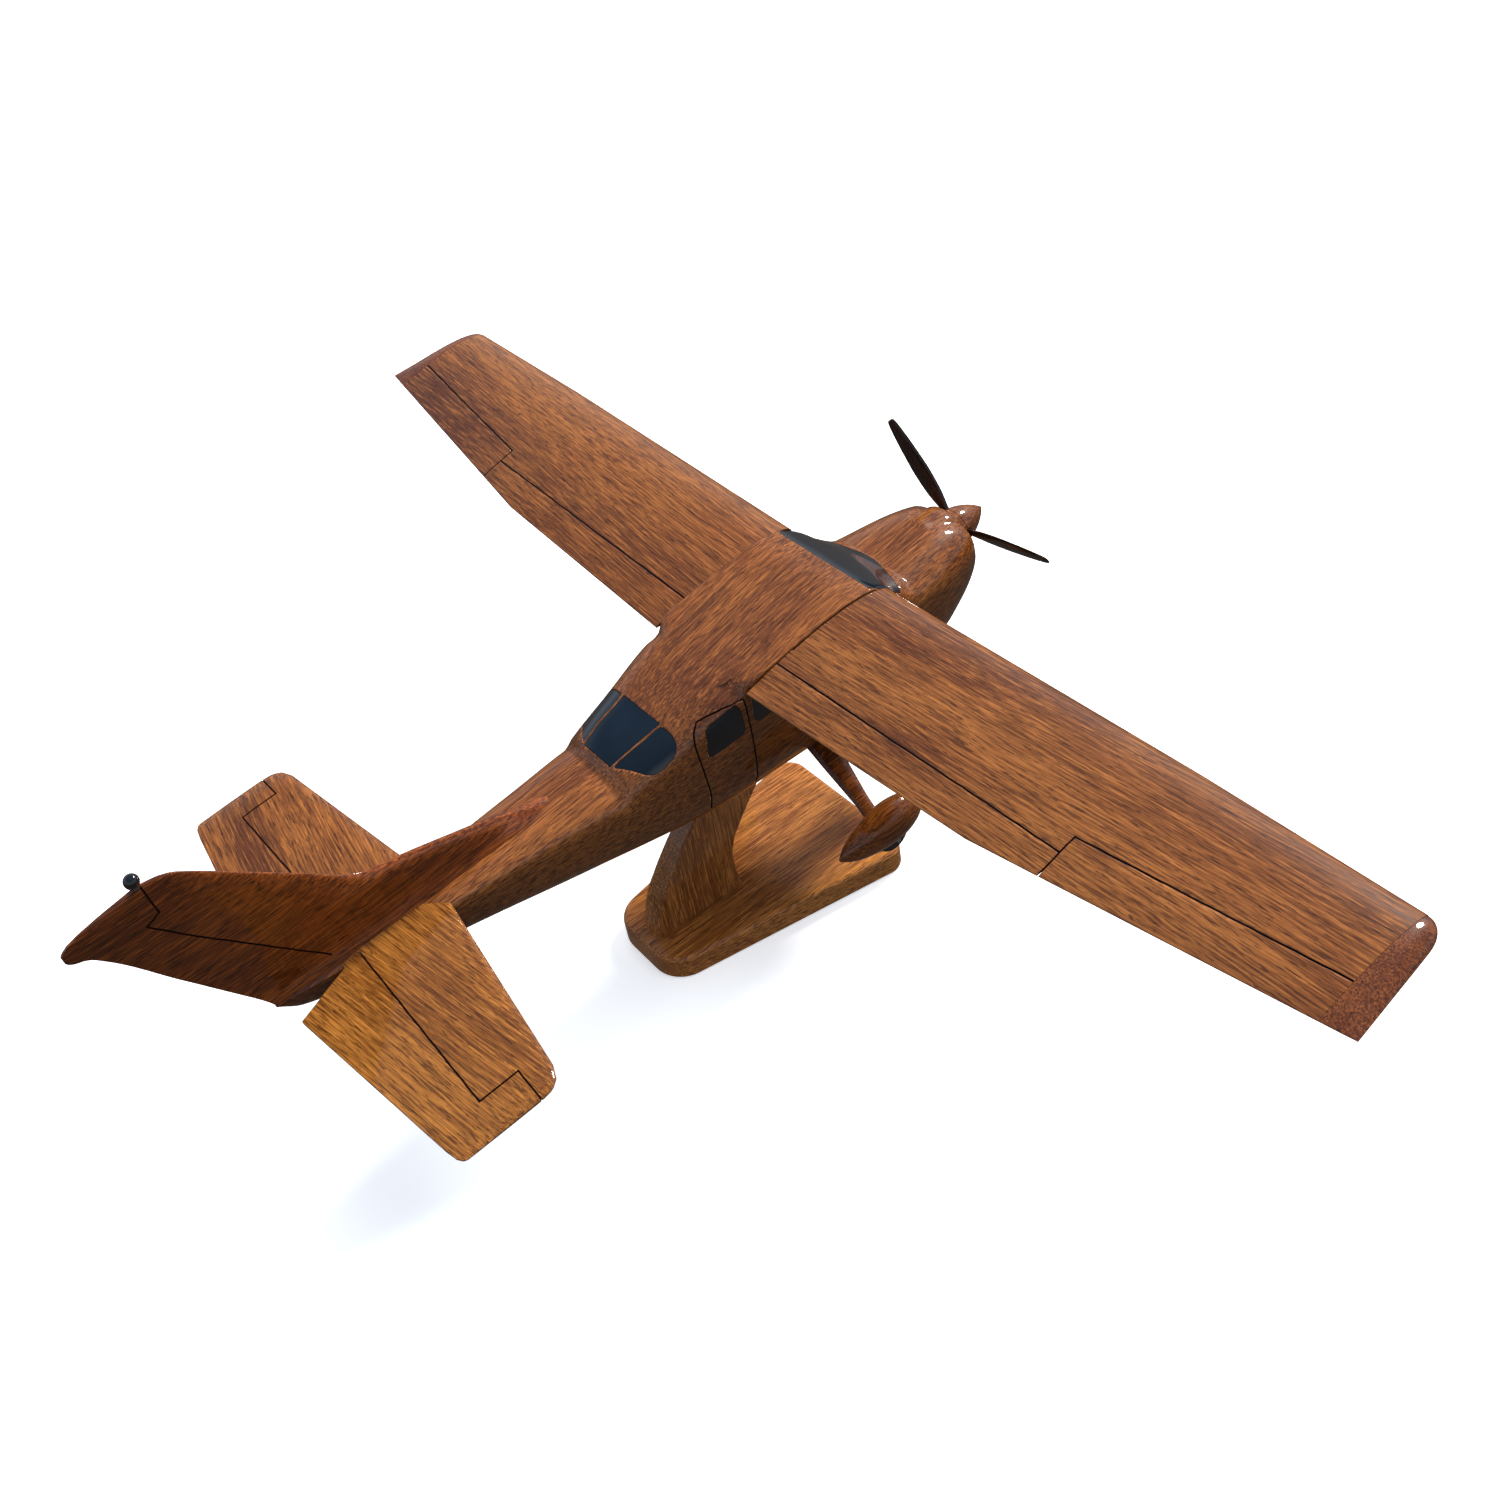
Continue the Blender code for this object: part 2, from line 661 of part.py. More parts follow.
def tip_section(s, side):
    """Section of the tip cap, s = 0 at its joint and 1 at its slanted, rounded outer edge."""
    z, thickness = wing_plane(TIP_CAP_X)
    squash = max(TIP_EDGE_SQUASH, (1.0 - s**2.4) ** 0.5)
    leading = WING_LE_TIP_Y + TIP_CORNER * (1.0 - math.sqrt(1.0 - s**2.2))
    ring = []
    for x, y, height in airfoil_ring(TIP_CAP_X, leading, wing_trailing(TIP_CAP_X), 0.0, thickness, squash):
        t = (y - WING_LE_TIP_Y) / (WING_TE_TIP[1] - WING_LE_TIP_Y)
        outer = lerp(TIP_LEADING_X, SPAN_HALF, t)
        trailing_shift = (wing_trailing(SPAN_HALF) - wing_trailing(TIP_CAP_X)) * s * t
        x = lerp(TIP_CAP_X, outer, s)
        ring.append((side * x, y + trailing_shift, z + DIHEDRAL_SLOPE * (x - TIP_CAP_X) + height))
    return ring


WING_STATIONS = (ROOT_X, 40.0, 68.0, WING_TE_KINK[0], WING_LE_TAPER_X, 153.0, TIP_CAP_X - GAP)
TIP_STEPS = (0.0, 0.35, 0.62, 0.8, 0.92, 0.98, 1.0)
WING_DOWEL_Y = (25.0, 44.0)
WING_DOWEL_Z = 1.0
WING_DOWEL_RADIUS = 1.2
WING_DOWEL_INNER_X = 11.0
WING_DOWEL_OUTER_X = 31.0

for side, label in ((1, "port"), (-1, "starboard")):
    wing = loft(f"wing_{label}", [wing_section(x, side) for x in WING_STATIONS], wood_wing, parent=airframe)
    loft(f"wing_tip_{label}", [tip_section(s, side) for s in TIP_STEPS], wood_wing, parent=airframe)
    for y, place in zip(WING_DOWEL_Y, ("front", "rear")):
        inner = (side * WING_DOWEL_INNER_X, y, WING_DOWEL_Z)
        outer = (side * WING_DOWEL_OUTER_X, y, WING_DOWEL_Z)
        cylinder(f"wing_dowel_{label}_{place}", inner, outer, WING_DOWEL_RADIUS, dowel_wood, airframe)
        bore = cylinder(
            f"wing_bore_{label}_{place}",
            (side * (WING_DOWEL_INNER_X - GAP), y, WING_DOWEL_Z),
            (side * (WING_DOWEL_OUTER_X + GAP), y, WING_DOWEL_Z),
            WING_DOWEL_RADIUS + GAP,
            dowel_wood,
            airframe,
            CUTTERS,
        )
        cut(fuselage, bore)
        cut(wing, bore)


# Horizontal tail
STAB_LEADING = ((8.0, 153.4), (68.5, 161.8))
STAB_TRAILING = ((10.5, 199.3), (71.3, 190.9))
STAB_INNER_X = 2.0
RUDDER_CLEARANCE = ((0.0, 183.6), (5.4, 183.6), (10.7, 200.5), (10.7, 206.0), (0.0, 206.0))
STAB_SECTION_POINTS = 10
STAB_TIP_START = 0.92
STAB_SPAN_STEPS = (0.0, 0.3, 0.6, STAB_TIP_START, 0.955, 0.98, 1.0)
STAB_TIP_HALF = 1.35
STAB_TIP_CORNER = 5.0
STAB_TIP_TAIL_CORNER = 2.0
STAB_NOSE_SHARE = 0.16
STAB_EDGE_SQUASH = 0.25
RUDDER_CLEARANCE_HEIGHT = 8.0
STAB_DOWEL_Y = 166.0
STAB_DOWEL_RADIUS = 0.7
STAB_DOWEL_HALF_LENGTH = 18.0


def stab_ring(s, side):
    """Section at s from root to tip, with a rounded nose, a thin tail and a rounded tip."""
    tip_round = max(0.0, (s - STAB_TIP_START) / (1.0 - STAB_TIP_START))
    squash = max(STAB_EDGE_SQUASH, math.sqrt(1.0 - tip_round * tip_round))
    x_line = lerp(STAB_INNER_X, STAB_HALF_SPAN, s)
    share = (x_line - STAB_LEADING[0][0]) / (STAB_LEADING[1][0] - STAB_LEADING[0][0])
    leading = lerp(STAB_LEADING[0][1], STAB_LEADING[1][1], share)
    leading += STAB_TIP_CORNER * (1.0 - math.sqrt(1.0 - tip_round**2.2))
    share = (x_line - STAB_TRAILING[0][0]) / (STAB_TRAILING[1][0] - STAB_TRAILING[0][0])
    trailing = lerp(STAB_TRAILING[0][1], STAB_TRAILING[1][1], share)
    trailing -= STAB_TIP_TAIL_CORNER * (1.0 - math.sqrt(1.0 - tip_round**3))
    half = lerp(STAB_ROOT_HALF, STAB_TIP_HALF, s) * squash

    def point(t, sign):
        y = lerp(leading, trailing, t)
        nose = math.sqrt(max(0.0, 1.0 - (1.0 - min(t / STAB_NOSE_SHARE, 1.0)) ** 2))
        tail = 1.0 - 0.62 * max(0.0, (t - 0.45) / 0.55) ** 1.3
        return (side * x_line, y, STAB_Z + sign * half * nose * tail)

    ring = []
    for k in range(STAB_SECTION_POINTS + 1):
        ring.append(point((1.0 + math.cos(math.pi * k / STAB_SECTION_POINTS)) / 2.0, 1.0))
    for k in range(STAB_SECTION_POINTS - 1, -1, -1):
        ring.append(point((1.0 + math.cos(math.pi * k / STAB_SECTION_POINTS)) / 2.0, -1.0))
    return ring


stab_bore = cylinder(
    "stabilizer_bore",
    (-STAB_DOWEL_HALF_LENGTH - GAP, STAB_DOWEL_Y, STAB_Z),
    (STAB_DOWEL_HALF_LENGTH + GAP, STAB_DOWEL_Y, STAB_Z),
    STAB_DOWEL_RADIUS + GAP,
    dowel_wood,
    airframe,
    CUTTERS,
    sides=12,
)
cylinder(
    "stabilizer_dowel",
    (-STAB_DOWEL_HALF_LENGTH, STAB_DOWEL_Y, STAB_Z),
    (STAB_DOWEL_HALF_LENGTH, STAB_DOWEL_Y, STAB_Z),
    STAB_DOWEL_RADIUS,
    dowel_wood,
    airframe,
    sides=12,
)
cut(fuselage, stab_bore)
for side, label in ((1, "port"), (-1, "starboard")):
    stab = loft(
        f"stabilizer_{label}",
        [stab_ring(s, side) for s in STAB_SPAN_STEPS],
        wood_tail,
        parent=airframe,
    )
    rudder_clearance = plate(
        f"rudder_clearance_{label}",
        [(side * x, y) for x, y in RUDDER_CLEARANCE],
        RUDDER_CLEARANCE_HEIGHT,
        wood_tail,
        (0, 0, 0),
        (0, 0, STAB_Z),
        parent=airframe,
        collection=CUTTERS,
    )
    cut(stab, stab_bore, fuselage_clearance, rudder_clearance)


# Fin with its dorsal fillet
FIN_LEADING = (
    (-8.4, 114.0), (-6.6, 118.0), (-4.6, 123.6), (-2.0, 130.0), (2.9, 143.8), (7.0, 156.0), (9.4, 164.6),
    (12.0, 169.6), (22.7, 180.3), (34.2, 191.6), (44.3, 201.7), (46.4, 204.2), (47.8, 207.2), (48.6, 211.0),
)
FIN_TRAILING = (
    (-8.4, 201.0), (-6.6, 202.2), (17.4, 216.1), (36.7, 227.2), (39.4, 229.6), (40.6, 232.2), (42.2, 233.6),
    (43.8, 233.6), (45.6, 231.6), (46.9, 227.0), (47.9, 220.4), (48.6, 214.2),
)
FIN_LEVELS = (
    -8.4, -6.6, -4.6, -2.0, 2.0, 6.4, 9.4, 12.0, 18.0, 28.0, 37.0, 39.6, 41.4, 43.2, 45.0, 46.4, 47.6, 48.4,
)
FIN_HALF_THICKNESS = ((-6.6, 2.5), (10.0, 2.0), (40.0, 1.4), (46.0, 1.1), (48.6, 0.45))
FIN_NOSE_LENGTH = 16.0
FIN_SECTION_POINTS = 10
FIN_DOWEL_Y = 186.0
FIN_DOWEL_RADIUS = 0.8
FIN_DOWEL_LOW_Z = -13.0
FIN_DOWEL_HIGH_Z = 2.0


def fin_ring(z):
    leading, trailing = track(FIN_LEADING, z), track(FIN_TRAILING, z)
    chord = trailing - leading
    half = track(FIN_HALF_THICKNESS, z)
    nose_length = min(FIN_NOSE_LENGTH, 0.45 * chord)

    def thickness(t):
        d = t * chord
        nose = math.sqrt(max(0.0, 1.0 - (1.0 - min(d, nose_length) / nose_length) ** 2))
        tail = 1.0 - 0.7 * max(0.0, (t - 0.5) / 0.5) ** 1.2
        return half * nose * tail

    ring = []
    for k in range(FIN_SECTION_POINTS + 1):
        t = (1.0 + math.cos(math.pi * k / FIN_SECTION_POINTS)) / 2.0
        ring.append((thickness(t), leading + t * chord, z))
    for k in range(FIN_SECTION_POINTS - 1, -1, -1):
        t = (1.0 + math.cos(math.pi * k / FIN_SECTION_POINTS)) / 2.0
        ring.append((-thickness(t), leading + t * chord, z))
    return ring


fin = loft("fin", [fin_ring(z) for z in FIN_LEVELS], wood_tail, parent=airframe)
cylinder(
    "fin_dowel",
    (0, FIN_DOWEL_Y, FIN_DOWEL_LOW_Z),
    (0, FIN_DOWEL_Y, FIN_DOWEL_HIGH_Z),
    FIN_DOWEL_RADIUS,
    dowel_wood,
    airframe,
    sides=12,
)
fin_bore = cylinder(
    "fin_bore",
    (0, FIN_DOWEL_Y, FIN_DOWEL_LOW_Z - GAP),
    (0, FIN_DOWEL_Y, FIN_DOWEL_HIGH_Z + GAP),
    FIN_DOWEL_RADIUS + GAP,
    dowel_wood,
    airframe,
    CUTTERS,
    sides=12,
)
cut(fuselage, fin_bore)
cut(fin, fin_bore, fuselage_clearance)

BEACON_RADIUS = 1.9
BEACON_CENTRE = (0.0, 212.2, 48.5 + BEACON_RADIUS + GAP)


def build_beacon():
    steps = 8
    profile = [
        (BEACON_RADIUS * math.sin(math.pi * k / steps), BEACON_RADIUS * math.cos(math.pi * k / steps))
        for k in range(steps + 1)
    ]
    profile[0] = (0.0, BEACON_RADIUS)
    profile[-1] = (0.0, -BEACON_RADIUS)
    return turned("beacon", profile, gloss_black, airframe, BEACON_CENTRE, steps=16)


build_beacon()


# Spinner, propeller blades and their pin
def spinner_radius(t):
    return SPINNER_RADIUS * (1.0 - t**SPINNER_POWER) ** SPINNER_BLUNTNESS


propeller = empty("propeller_axis", (0.0, SPINNER_BASE_Y, THRUST_Z), airframe)
FORWARD = (math.pi / 2.0, 0.0, 0.0)
ACROSS = (0.0, math.pi / 2.0, 0.0)


def build_spinner():
    steps = 7
    profile = [(0.0, SPINNER_LENGTH)]
    for k in range(1, steps + 1):
        t = 1.0 - (k / steps) ** 1.4
        profile.append((spinner_radius(t), t * SPINNER_LENGTH))
    profile.append((0.0, 0.0))
    return turned("spinner", profile, wood_fuselage, propeller, (0, 0, 0), rotation=FORWARD, steps=24)


def blade_direction(k):
    angle = math.radians(BLADE_PHASE_DEG - k * 360.0 / BLADE_COUNT)
    return Vector((math.sin(angle), 0.0, math.cos(angle)))


BLADE_SECTIONS = (
    # radius, half chord, half thickness, twist in degrees from the disc
    (BLADE_ROOT_RADIUS, 0.9, 0.9, 30.0), (6.2, 1.15, 0.9, 26.0), (8.5, 1.8, 0.8, 23.0),
    (13.0, 2.65, 0.7, 20.5), (19.0, 2.95, 0.62, 19.5), (26.0, 2.6, 0.54, 19.0), (33.0, 1.9, 0.45, 18.5),
    (BLADE_TIP_RADIUS - 0.5, 1.35, 0.36, 18.0), (BLADE_TIP_RADIUS, 1.1, 0.24, 18.0),
)
BLADE_RING_POINTS = 10


def blade_ring(section, k):
    radius, half_chord, half_thickness, twist_deg = section
    along = blade_direction(k)
    axis = Vector((0.0, 1.0, 0.0))
    across = axis.cross(along)
    twist = math.radians(twist_deg)
    chord_way = across * math.cos(twist) + axis * math.sin(twist)
    thick_way = axis * math.cos(twist) - across * math.sin(twist)
    forward = BLADE_RAKE * (radius - BLADE_ROOT_RADIUS) / (BLADE_TIP_RADIUS - BLADE_ROOT_RADIUS)
    centre = along * radius + Vector((0.0, BLADE_PLANE_Y - SPINNER_BASE_Y - forward, 0.0))
    ring = []
    for i in range(BLADE_RING_POINTS):
        a = 2.0 * math.pi * i / BLADE_RING_POINTS
        ring.append(centre + chord_way * half_chord * math.cos(a) + thick_way * half_thickness * math.sin(a))
    return ring


spinner = build_spinner()
for k in range(BLADE_COUNT):
    rings = [blade_ring(section, k) for section in BLADE_SECTIONS]
    loft(f"propeller_blade_{k + 1}", rings, wood_dark, parent=propeller)
    plane = Vector((0.0, BLADE_PLANE_Y - SPINNER_BASE_Y, 0.0))
    socket = cylinder(
        f"blade_socket_{k + 1}",
        plane + blade_direction(k) * (BLADE_ROOT_RADIUS - GAP),
        plane + blade_direction(k) * BLADE_SOCKET_END,
        BLADE_SOCKET_RADIUS,
        wood_dark,
        propeller,
        CUTTERS,
    )
    cut(spinner, socket)

cylinder(
    "propeller_pin", (0, PIN_IN_COWL, 0), (0, -PIN_IN_SPINNER, 0), PIN_RADIUS, steel, propeller, sides=12
)
pin_bore = cylinder(
    "propeller_pin_bore",
    (0, PIN_IN_COWL + GAP, 0),
    (0, -PIN_IN_SPINNER - GAP, 0),
    PIN_RADIUS + RUNNING_CLEARANCE,
    steel,
    propeller,
    CUTTERS,
    sides=12,
)
cut(spinner, pin_bore)
cut(fuselage, pin_bore)


# Landing gear
def pant_radius(t):
    """Teardrop outline, 1 at its fullest: round nose at t = 0, pointed tail at t = 1."""
    if t < PANT_FULLEST:
        return math.sqrt(max(0.0, 1.0 - (1.0 - t / PANT_FULLEST) ** 2))
    u = (t - PANT_FULLEST) / (1.0 - PANT_FULLEST)
    return 1.0 - 0.72 * u**1.7 - 0.28 * u**6


PANT_STEPS = (0.0, 0.012, 0.05, 0.12, 0.24, 0.4, 0.55, 0.7, 0.83, 0.93, 0.985)
PANT_RING_POINTS = 16
LEG_RING_POINTS = 12


def pant_ring(t, centre_x, nose_y, offset=0.0):
    scale = max(0.06, pant_radius(t))
    ring = []
    for k in range(PANT_RING_POINTS):
        a = 2.0 * math.pi * k / PANT_RING_POINTS
        x = centre_x + (PANT_HALF_WIDTH * scale + offset) * math.cos(a)
        z = PANT_Z + (PANT_HALF_HEIGHT * scale + offset) * math.sin(a)
        ring.append((x, nose_y + t * PANT_LENGTH, z))
    return ring


def bar_ring(centre, half_chord, half_thickness, normal):
    """Flattened ring in the plane across a leg: the chord runs along Y."""
    normal = Vector(normal).normalized()
    ring = []
    for i in range(LEG_RING_POINTS):
        a = 2.0 * math.pi * i / LEG_RING_POINTS
        c, s = math.cos(a), math.sin(a)
        along = math.copysign(abs(c) ** 0.8, c) * half_chord
        ring.append(Vector(centre) + Vector((0.0, along, 0.0)) + normal * half_thickness * s)
    return ring


def build_wheel(label, x, y):
    """Fairing with its slot, wheel and axle pin, with the wheel's centre at (x, y)."""
    nose_y = y - PANT_FULLEST * PANT_LENGTH
    rings = [pant_ring(t, x, nose_y) for t in PANT_STEPS]
    pant = loft(f"wheel_fairing_{label}", rings, wood_tail, parent=airframe)
    wheel_z = PANT_Z - WHEEL_DROP
    axle = empty(f"axle_{label}", (x, y, wheel_z), airframe)
    w, r = WHEEL_HALF_WIDTH, WHEEL_RADIUS
    bore = AXLE_RADIUS + RUNNING_CLEARANCE
    profile = [(bore, w), (r - 0.7, w), (r, w - 0.7)]
    profile += [(radius, -height) for radius, height in reversed(profile)]
    profile.append(profile[0])
    turned(f"wheel_{label}", profile, tyre, axle, (0, 0, 0), rotation=ACROSS, steps=20)
    pin_end = Vector((AXLE_HALF_LENGTH, 0.0, 0.0))
    cylinder(f"axle_pin_{label}", -pin_end, pin_end, AXLE_RADIUS, steel, axle, sides=12)
    well_end = Vector((w + WELL_CLEARANCE, 0.0, 0.0))
    well = cylinder(
        f"wheel_well_{label}", -well_end, well_end, r + WELL_CLEARANCE, tyre, axle, CUTTERS, sides=20
    )
    hole_end = pin_end + Vector((GAP, 0.0, 0.0))
    pin_hole = cylinder(
        f"axle_hole_{label}", -hole_end, hole_end, AXLE_RADIUS + GAP, steel, axle, CUTTERS, sides=12
    )
    cut(pant, well, pin_hole)
    clearance_rings = [pant_ring(t, x, nose_y, GAP) for t in PANT_STEPS]
    return loft(
        f"wheel_fairing_clearance_{label}", clearance_rings, wood_tail, parent=airframe, collection=CUTTERS
    )


LEG_ROOT = (13.0, 42.4, -35.6)
LEG_FOOT = (40.0, 46.6, -48.6)
LEG_STATIONS = (
    # share of the length, half chord, half thickness
    (0.0, 4.6, 1.6), (0.4, 3.5, 1.4), (0.62, 2.8, 1.25), (0.85, 2.2, 1.1), (1.0, 2.1, 1.0),
)

for side, label in ((1, "port"), (-1, "starboard")):
    pant_clearance = build_wheel(label, side * MAIN_WHEEL_X, MAIN_WHEEL_Y)
    root = Vector((side * LEG_ROOT[0], *LEG_ROOT[1:]))
    foot = Vector((side * LEG_FOOT[0], *LEG_FOOT[1:]))
    span = foot - root
    normal = Vector((-span.z * side, 0.0, span.x * side))
    rings = [bar_ring(root.lerp(foot, s), c, t, normal) for s, c, t in LEG_STATIONS]
    leg = loft(f"gear_leg_{label}", rings, wood_tail, parent=airframe)
    cut(leg, fuselage_clearance, pant_clearance)

NOSE_LEG = (
    ((0.0, NOSE_WHEEL_Y + 1.0, -37.0), 2.8, 1.6),
    ((0.0, NOSE_WHEEL_Y + 0.5, PANT_Z + PANT_HALF_HEIGHT - 2.0), 2.2, 1.3),
)
nose_clearance = build_wheel("nose", 0.0, NOSE_WHEEL_Y)
nose_leg = loft(
    "gear_leg_nose",
    [bar_ring(centre, chord, thickness, (1, 0, 0)) for centre, chord, thickness in NOSE_LEG],
    wood_tail,
    parent=airframe,
)
cut(nose_leg, fuselage_clearance, nose_clearance)


# Stand
def build_stand():
    outline = rounded_outline(
        (
            (-BASE_FRONT_HALF, BASE_FRONT_Y, BASE_FRONT_RADIUS),
            (BASE_FRONT_HALF, BASE_FRONT_Y, BASE_FRONT_RADIUS),
            (BASE_REAR_HALF, BASE_REAR_Y, BASE_REAR_RADIUS),
            (-BASE_REAR_HALF, BASE_REAR_Y, BASE_REAR_RADIUS),
        )
    )
    base_middle = (0, 0, BASE_THICKNESS / 2.0)
    base = plate(
        "stand_base", outline, BASE_THICKNESS, wood_stand, (0, 0, 0), base_middle, bevel=BASE_EDGE_ROUND
    )
    pillar = plate(
        "stand_pillar",
        [(y, BASE_THICKNESS + height) for y, height in PILLAR_FRONT_EDGE + PILLAR_REAR_EDGE],
        PILLAR_THICKNESS,
        wood_stand,
        (math.pi / 2.0, 0.0, math.pi / 2.0),
        (0, 0, 0),
    )
    return base, pillar


stand_base, stand_pillar = build_stand()
cylinder(
    "stand_peg",
    (0, PEG_Y, PILLAR_TOP_Z - PEG_DEPTH_IN_PILLAR),
    (0, PEG_Y, PILLAR_TOP_Z + PEG_DEPTH_IN_BELLY),
    PEG_RADIUS,
    dowel_wood,
)
peg_bore = cylinder(
    "stand_peg_bore",
    (0, PEG_Y, PILLAR_TOP_Z - PEG_DEPTH_IN_PILLAR - GAP),
    (0, PEG_Y, PILLAR_TOP_Z + PEG_DEPTH_IN_BELLY + GAP),
    PEG_RADIUS + GAP,
    dowel_wood,
    None,
    CUTTERS,
)
cut(stand_pillar, peg_bore)
cut(fuselage, peg_bore)


def screw_profile(clearance):
    """Countersunk screw, turned about its own axis, head down at height 0."""
    shank, head = SCREW_RADIUS + clearance, SCREW_HEAD_RADIUS + clearance
    return [
        (0.0, SCREW_LENGTH + clearance),
        (shank, SCREW_LENGTH + clearance - 1.0),
        (shank, SCREW_HEAD_HEIGHT),
        (head, 0.5),
        (head, -clearance * 3.0),
        (0.0, -clearance * 3.0),
    ]


for y, place in zip(SCREW_Y, ("front", "rear")):
    seat = (0, y, SCREW_RECESS)
    turned(f"stand_screw_{place}", screw_profile(0.0), steel, None, seat, steps=16)
    hole = turned(
        f"stand_screw_hole_{place}", screw_profile(GAP), steel, None, seat, steps=16, collection=CUTTERS
    )
    cut(stand_base, hole)
    cut(stand_pillar, hole)
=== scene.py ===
"""Looks of a carved and lacquered wooden desk model of a high-wing, single-engine aeroplane on its stand.

Lengths are in millimetres. The aeroplane's pieces are drawn in its own level frame (X port, Y aft, Z up) and
placed by ATTITUDE, which is the nose-up attitude it has on the stand.
"""

import math

import bmesh
import bpy
from mathutils import Matrix, Vector


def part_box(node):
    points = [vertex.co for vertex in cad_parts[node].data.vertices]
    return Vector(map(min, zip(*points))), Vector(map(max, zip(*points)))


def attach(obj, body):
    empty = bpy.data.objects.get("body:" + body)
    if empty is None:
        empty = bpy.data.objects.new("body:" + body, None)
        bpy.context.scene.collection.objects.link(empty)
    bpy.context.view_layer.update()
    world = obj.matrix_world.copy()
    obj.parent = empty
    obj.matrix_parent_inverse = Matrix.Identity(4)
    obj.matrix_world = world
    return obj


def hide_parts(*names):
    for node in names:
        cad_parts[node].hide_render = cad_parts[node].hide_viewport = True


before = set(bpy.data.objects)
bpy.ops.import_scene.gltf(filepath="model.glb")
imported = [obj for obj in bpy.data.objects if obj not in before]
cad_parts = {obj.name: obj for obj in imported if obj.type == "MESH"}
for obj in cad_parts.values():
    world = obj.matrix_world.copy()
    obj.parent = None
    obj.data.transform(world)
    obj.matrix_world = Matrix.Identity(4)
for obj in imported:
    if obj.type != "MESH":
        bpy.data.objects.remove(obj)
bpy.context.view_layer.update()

MM = 0.001
NOSE_UP_DEG = 5.45
BASE_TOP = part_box("stand_base")[1].z / MM
AIRFRAME_ORIGIN = Vector((0.0, -60.6, BASE_TOP + 89.5))
ATTITUDE = Matrix.Translation(AIRFRAME_ORIGIN * MM) @ Matrix.Rotation(-math.radians(NOSE_UP_DEG), 4, "X")
LEVEL = Matrix.Identity(4)
CREASE_DEG = 38.0

# Fuselage stations: distance aft of the wing-root datum and the value there
HALF_WIDTH = (
    (-27.4, 7.6), (-26.6, 10), (-25, 12.2), (-22, 14), (-15, 16.2), (-5, 18.2), (5, 19.2),
    (15, 19.7), (62, 19.7), (75, 19.1), (88, 17.8), (100, 16), (115, 13.7), (135, 11.4),
    (153, 9.3), (175, 6), (195, 3.4), (202, 1.8),
)
TOP = (
    (-27.4, -11.2), (-26, -9.3), (-22, -8), (-12, -6.9), (1.6, -7), (2, -6.9), (10, -1.2),
    (18, 3.7), (18.4, 3.8), (28, 5), (40, 4.5), (52, 3.5), (62, 2.7), (72, 1.3), (84, -1.6),
    (99.6, -5.6), (102.4, -8), (107, -7.5), (115, -7.2), (202, -7),
)
BOTTOM = (
    (-27.4, -24.4), (-26, -27), (-22, -31.6), (-16, -36), (-8, -39.2), (10, -40.6),
    (40, -40.2), (60, -38.4), (76, -36.9), (90, -35.1), (115, -31.3), (153, -23.2),
    (175, -19), (190, -16), (197, -13.4), (202, -8.8),
)
WAIST = (
    (-27.4, -17.8), (-10, -19), (15, -17), (62, -17), (100, -17.5), (153, -13.5),
    (202, -7.9),
)
SHARPNESS_ABOVE = (
    (-27.4, 2.1), (-20, 2.3), (-10, 2.6), (0, 3), (9, 5), (14, 40), (20, 120),
    (54, 90), (63, 8), (72, 5), (84, 3.6), (100, 2.9), (115, 3.2), (153, 4),
    (202, 4),
)
SHARPNESS_BELOW = (
    (-27.4, 2.2), (-15, 2.4), (10, 3.6), (30, 4.2), (80, 4), (115, 3.2), (153, 2.6),
    (202, 2.4),
)
HULL_STATIONS = (
    -27.4, -27.15, -26.8, -26.2, -25, -23, -20, -16, -10, 1.6, 2, 8, 14, 18, 18.4, 24,
    54, 63, 84, 99.6, 102.4, 107, 115, 190, 199, 201.2, 202,
)
HULL_STEP = 1.25
HULL_SIDES = 152
COWL_FACE_Y = -27.4
MOST_CROWDING = 9
FAIRING_FRONT_RADIUS = 6.6
FAIRING_SPREAD = 0.42
FAIRING_LENGTH = 12
RIDGE_APEX_Y = -14.5
RIDGE_DEPTH = 1.25
DIMPLE_Y = 64.6
DIMPLE_Z = 1.6
DIMPLE_RADIUS = 2.6
DIMPLE_DEPTH = 1.1
DIMPLE_INNER_X = 14

# Windows: panels sunk in pockets, and their corners as (station, angle in degrees, radius)
REAR_WINDOW_TOP_Y = 83.4
REAR_WINDOW_LOW_Y = 99.6
REAR_WINDOW_SWEEP_DEG = 27
PANEL_THICKNESS = 0.9
PANEL_SUNK = 0.04
POCKET_DEPTH = 1
PROUD = 1.5
SEAM = 0.12
WINDOW_SCALE = 18
SIDE_WINDOWS = {
    # name of the CAD nodes: name of the panels, corners
    "rear_window": (
        "rear_panel", ((83.6, 60, 0.8), (83, 37, 5), (93, 28, 5), (99.6, 60, 0.8)),
    ),
    "cabin_window": (
        "cabin_panel", ((65.3, 39.6, 1.6), (75.8, 37.6, 1.6), (78.3, 14.6, 1.4), (65.8, 14.9, 1.8)),
    ),
    "door_window": (
        "door_panel", ((30, 38, 2), (61.2, 38, 1.6), (62.4, 16.5, 1.8), (33, 18, 3)),
    ),
}

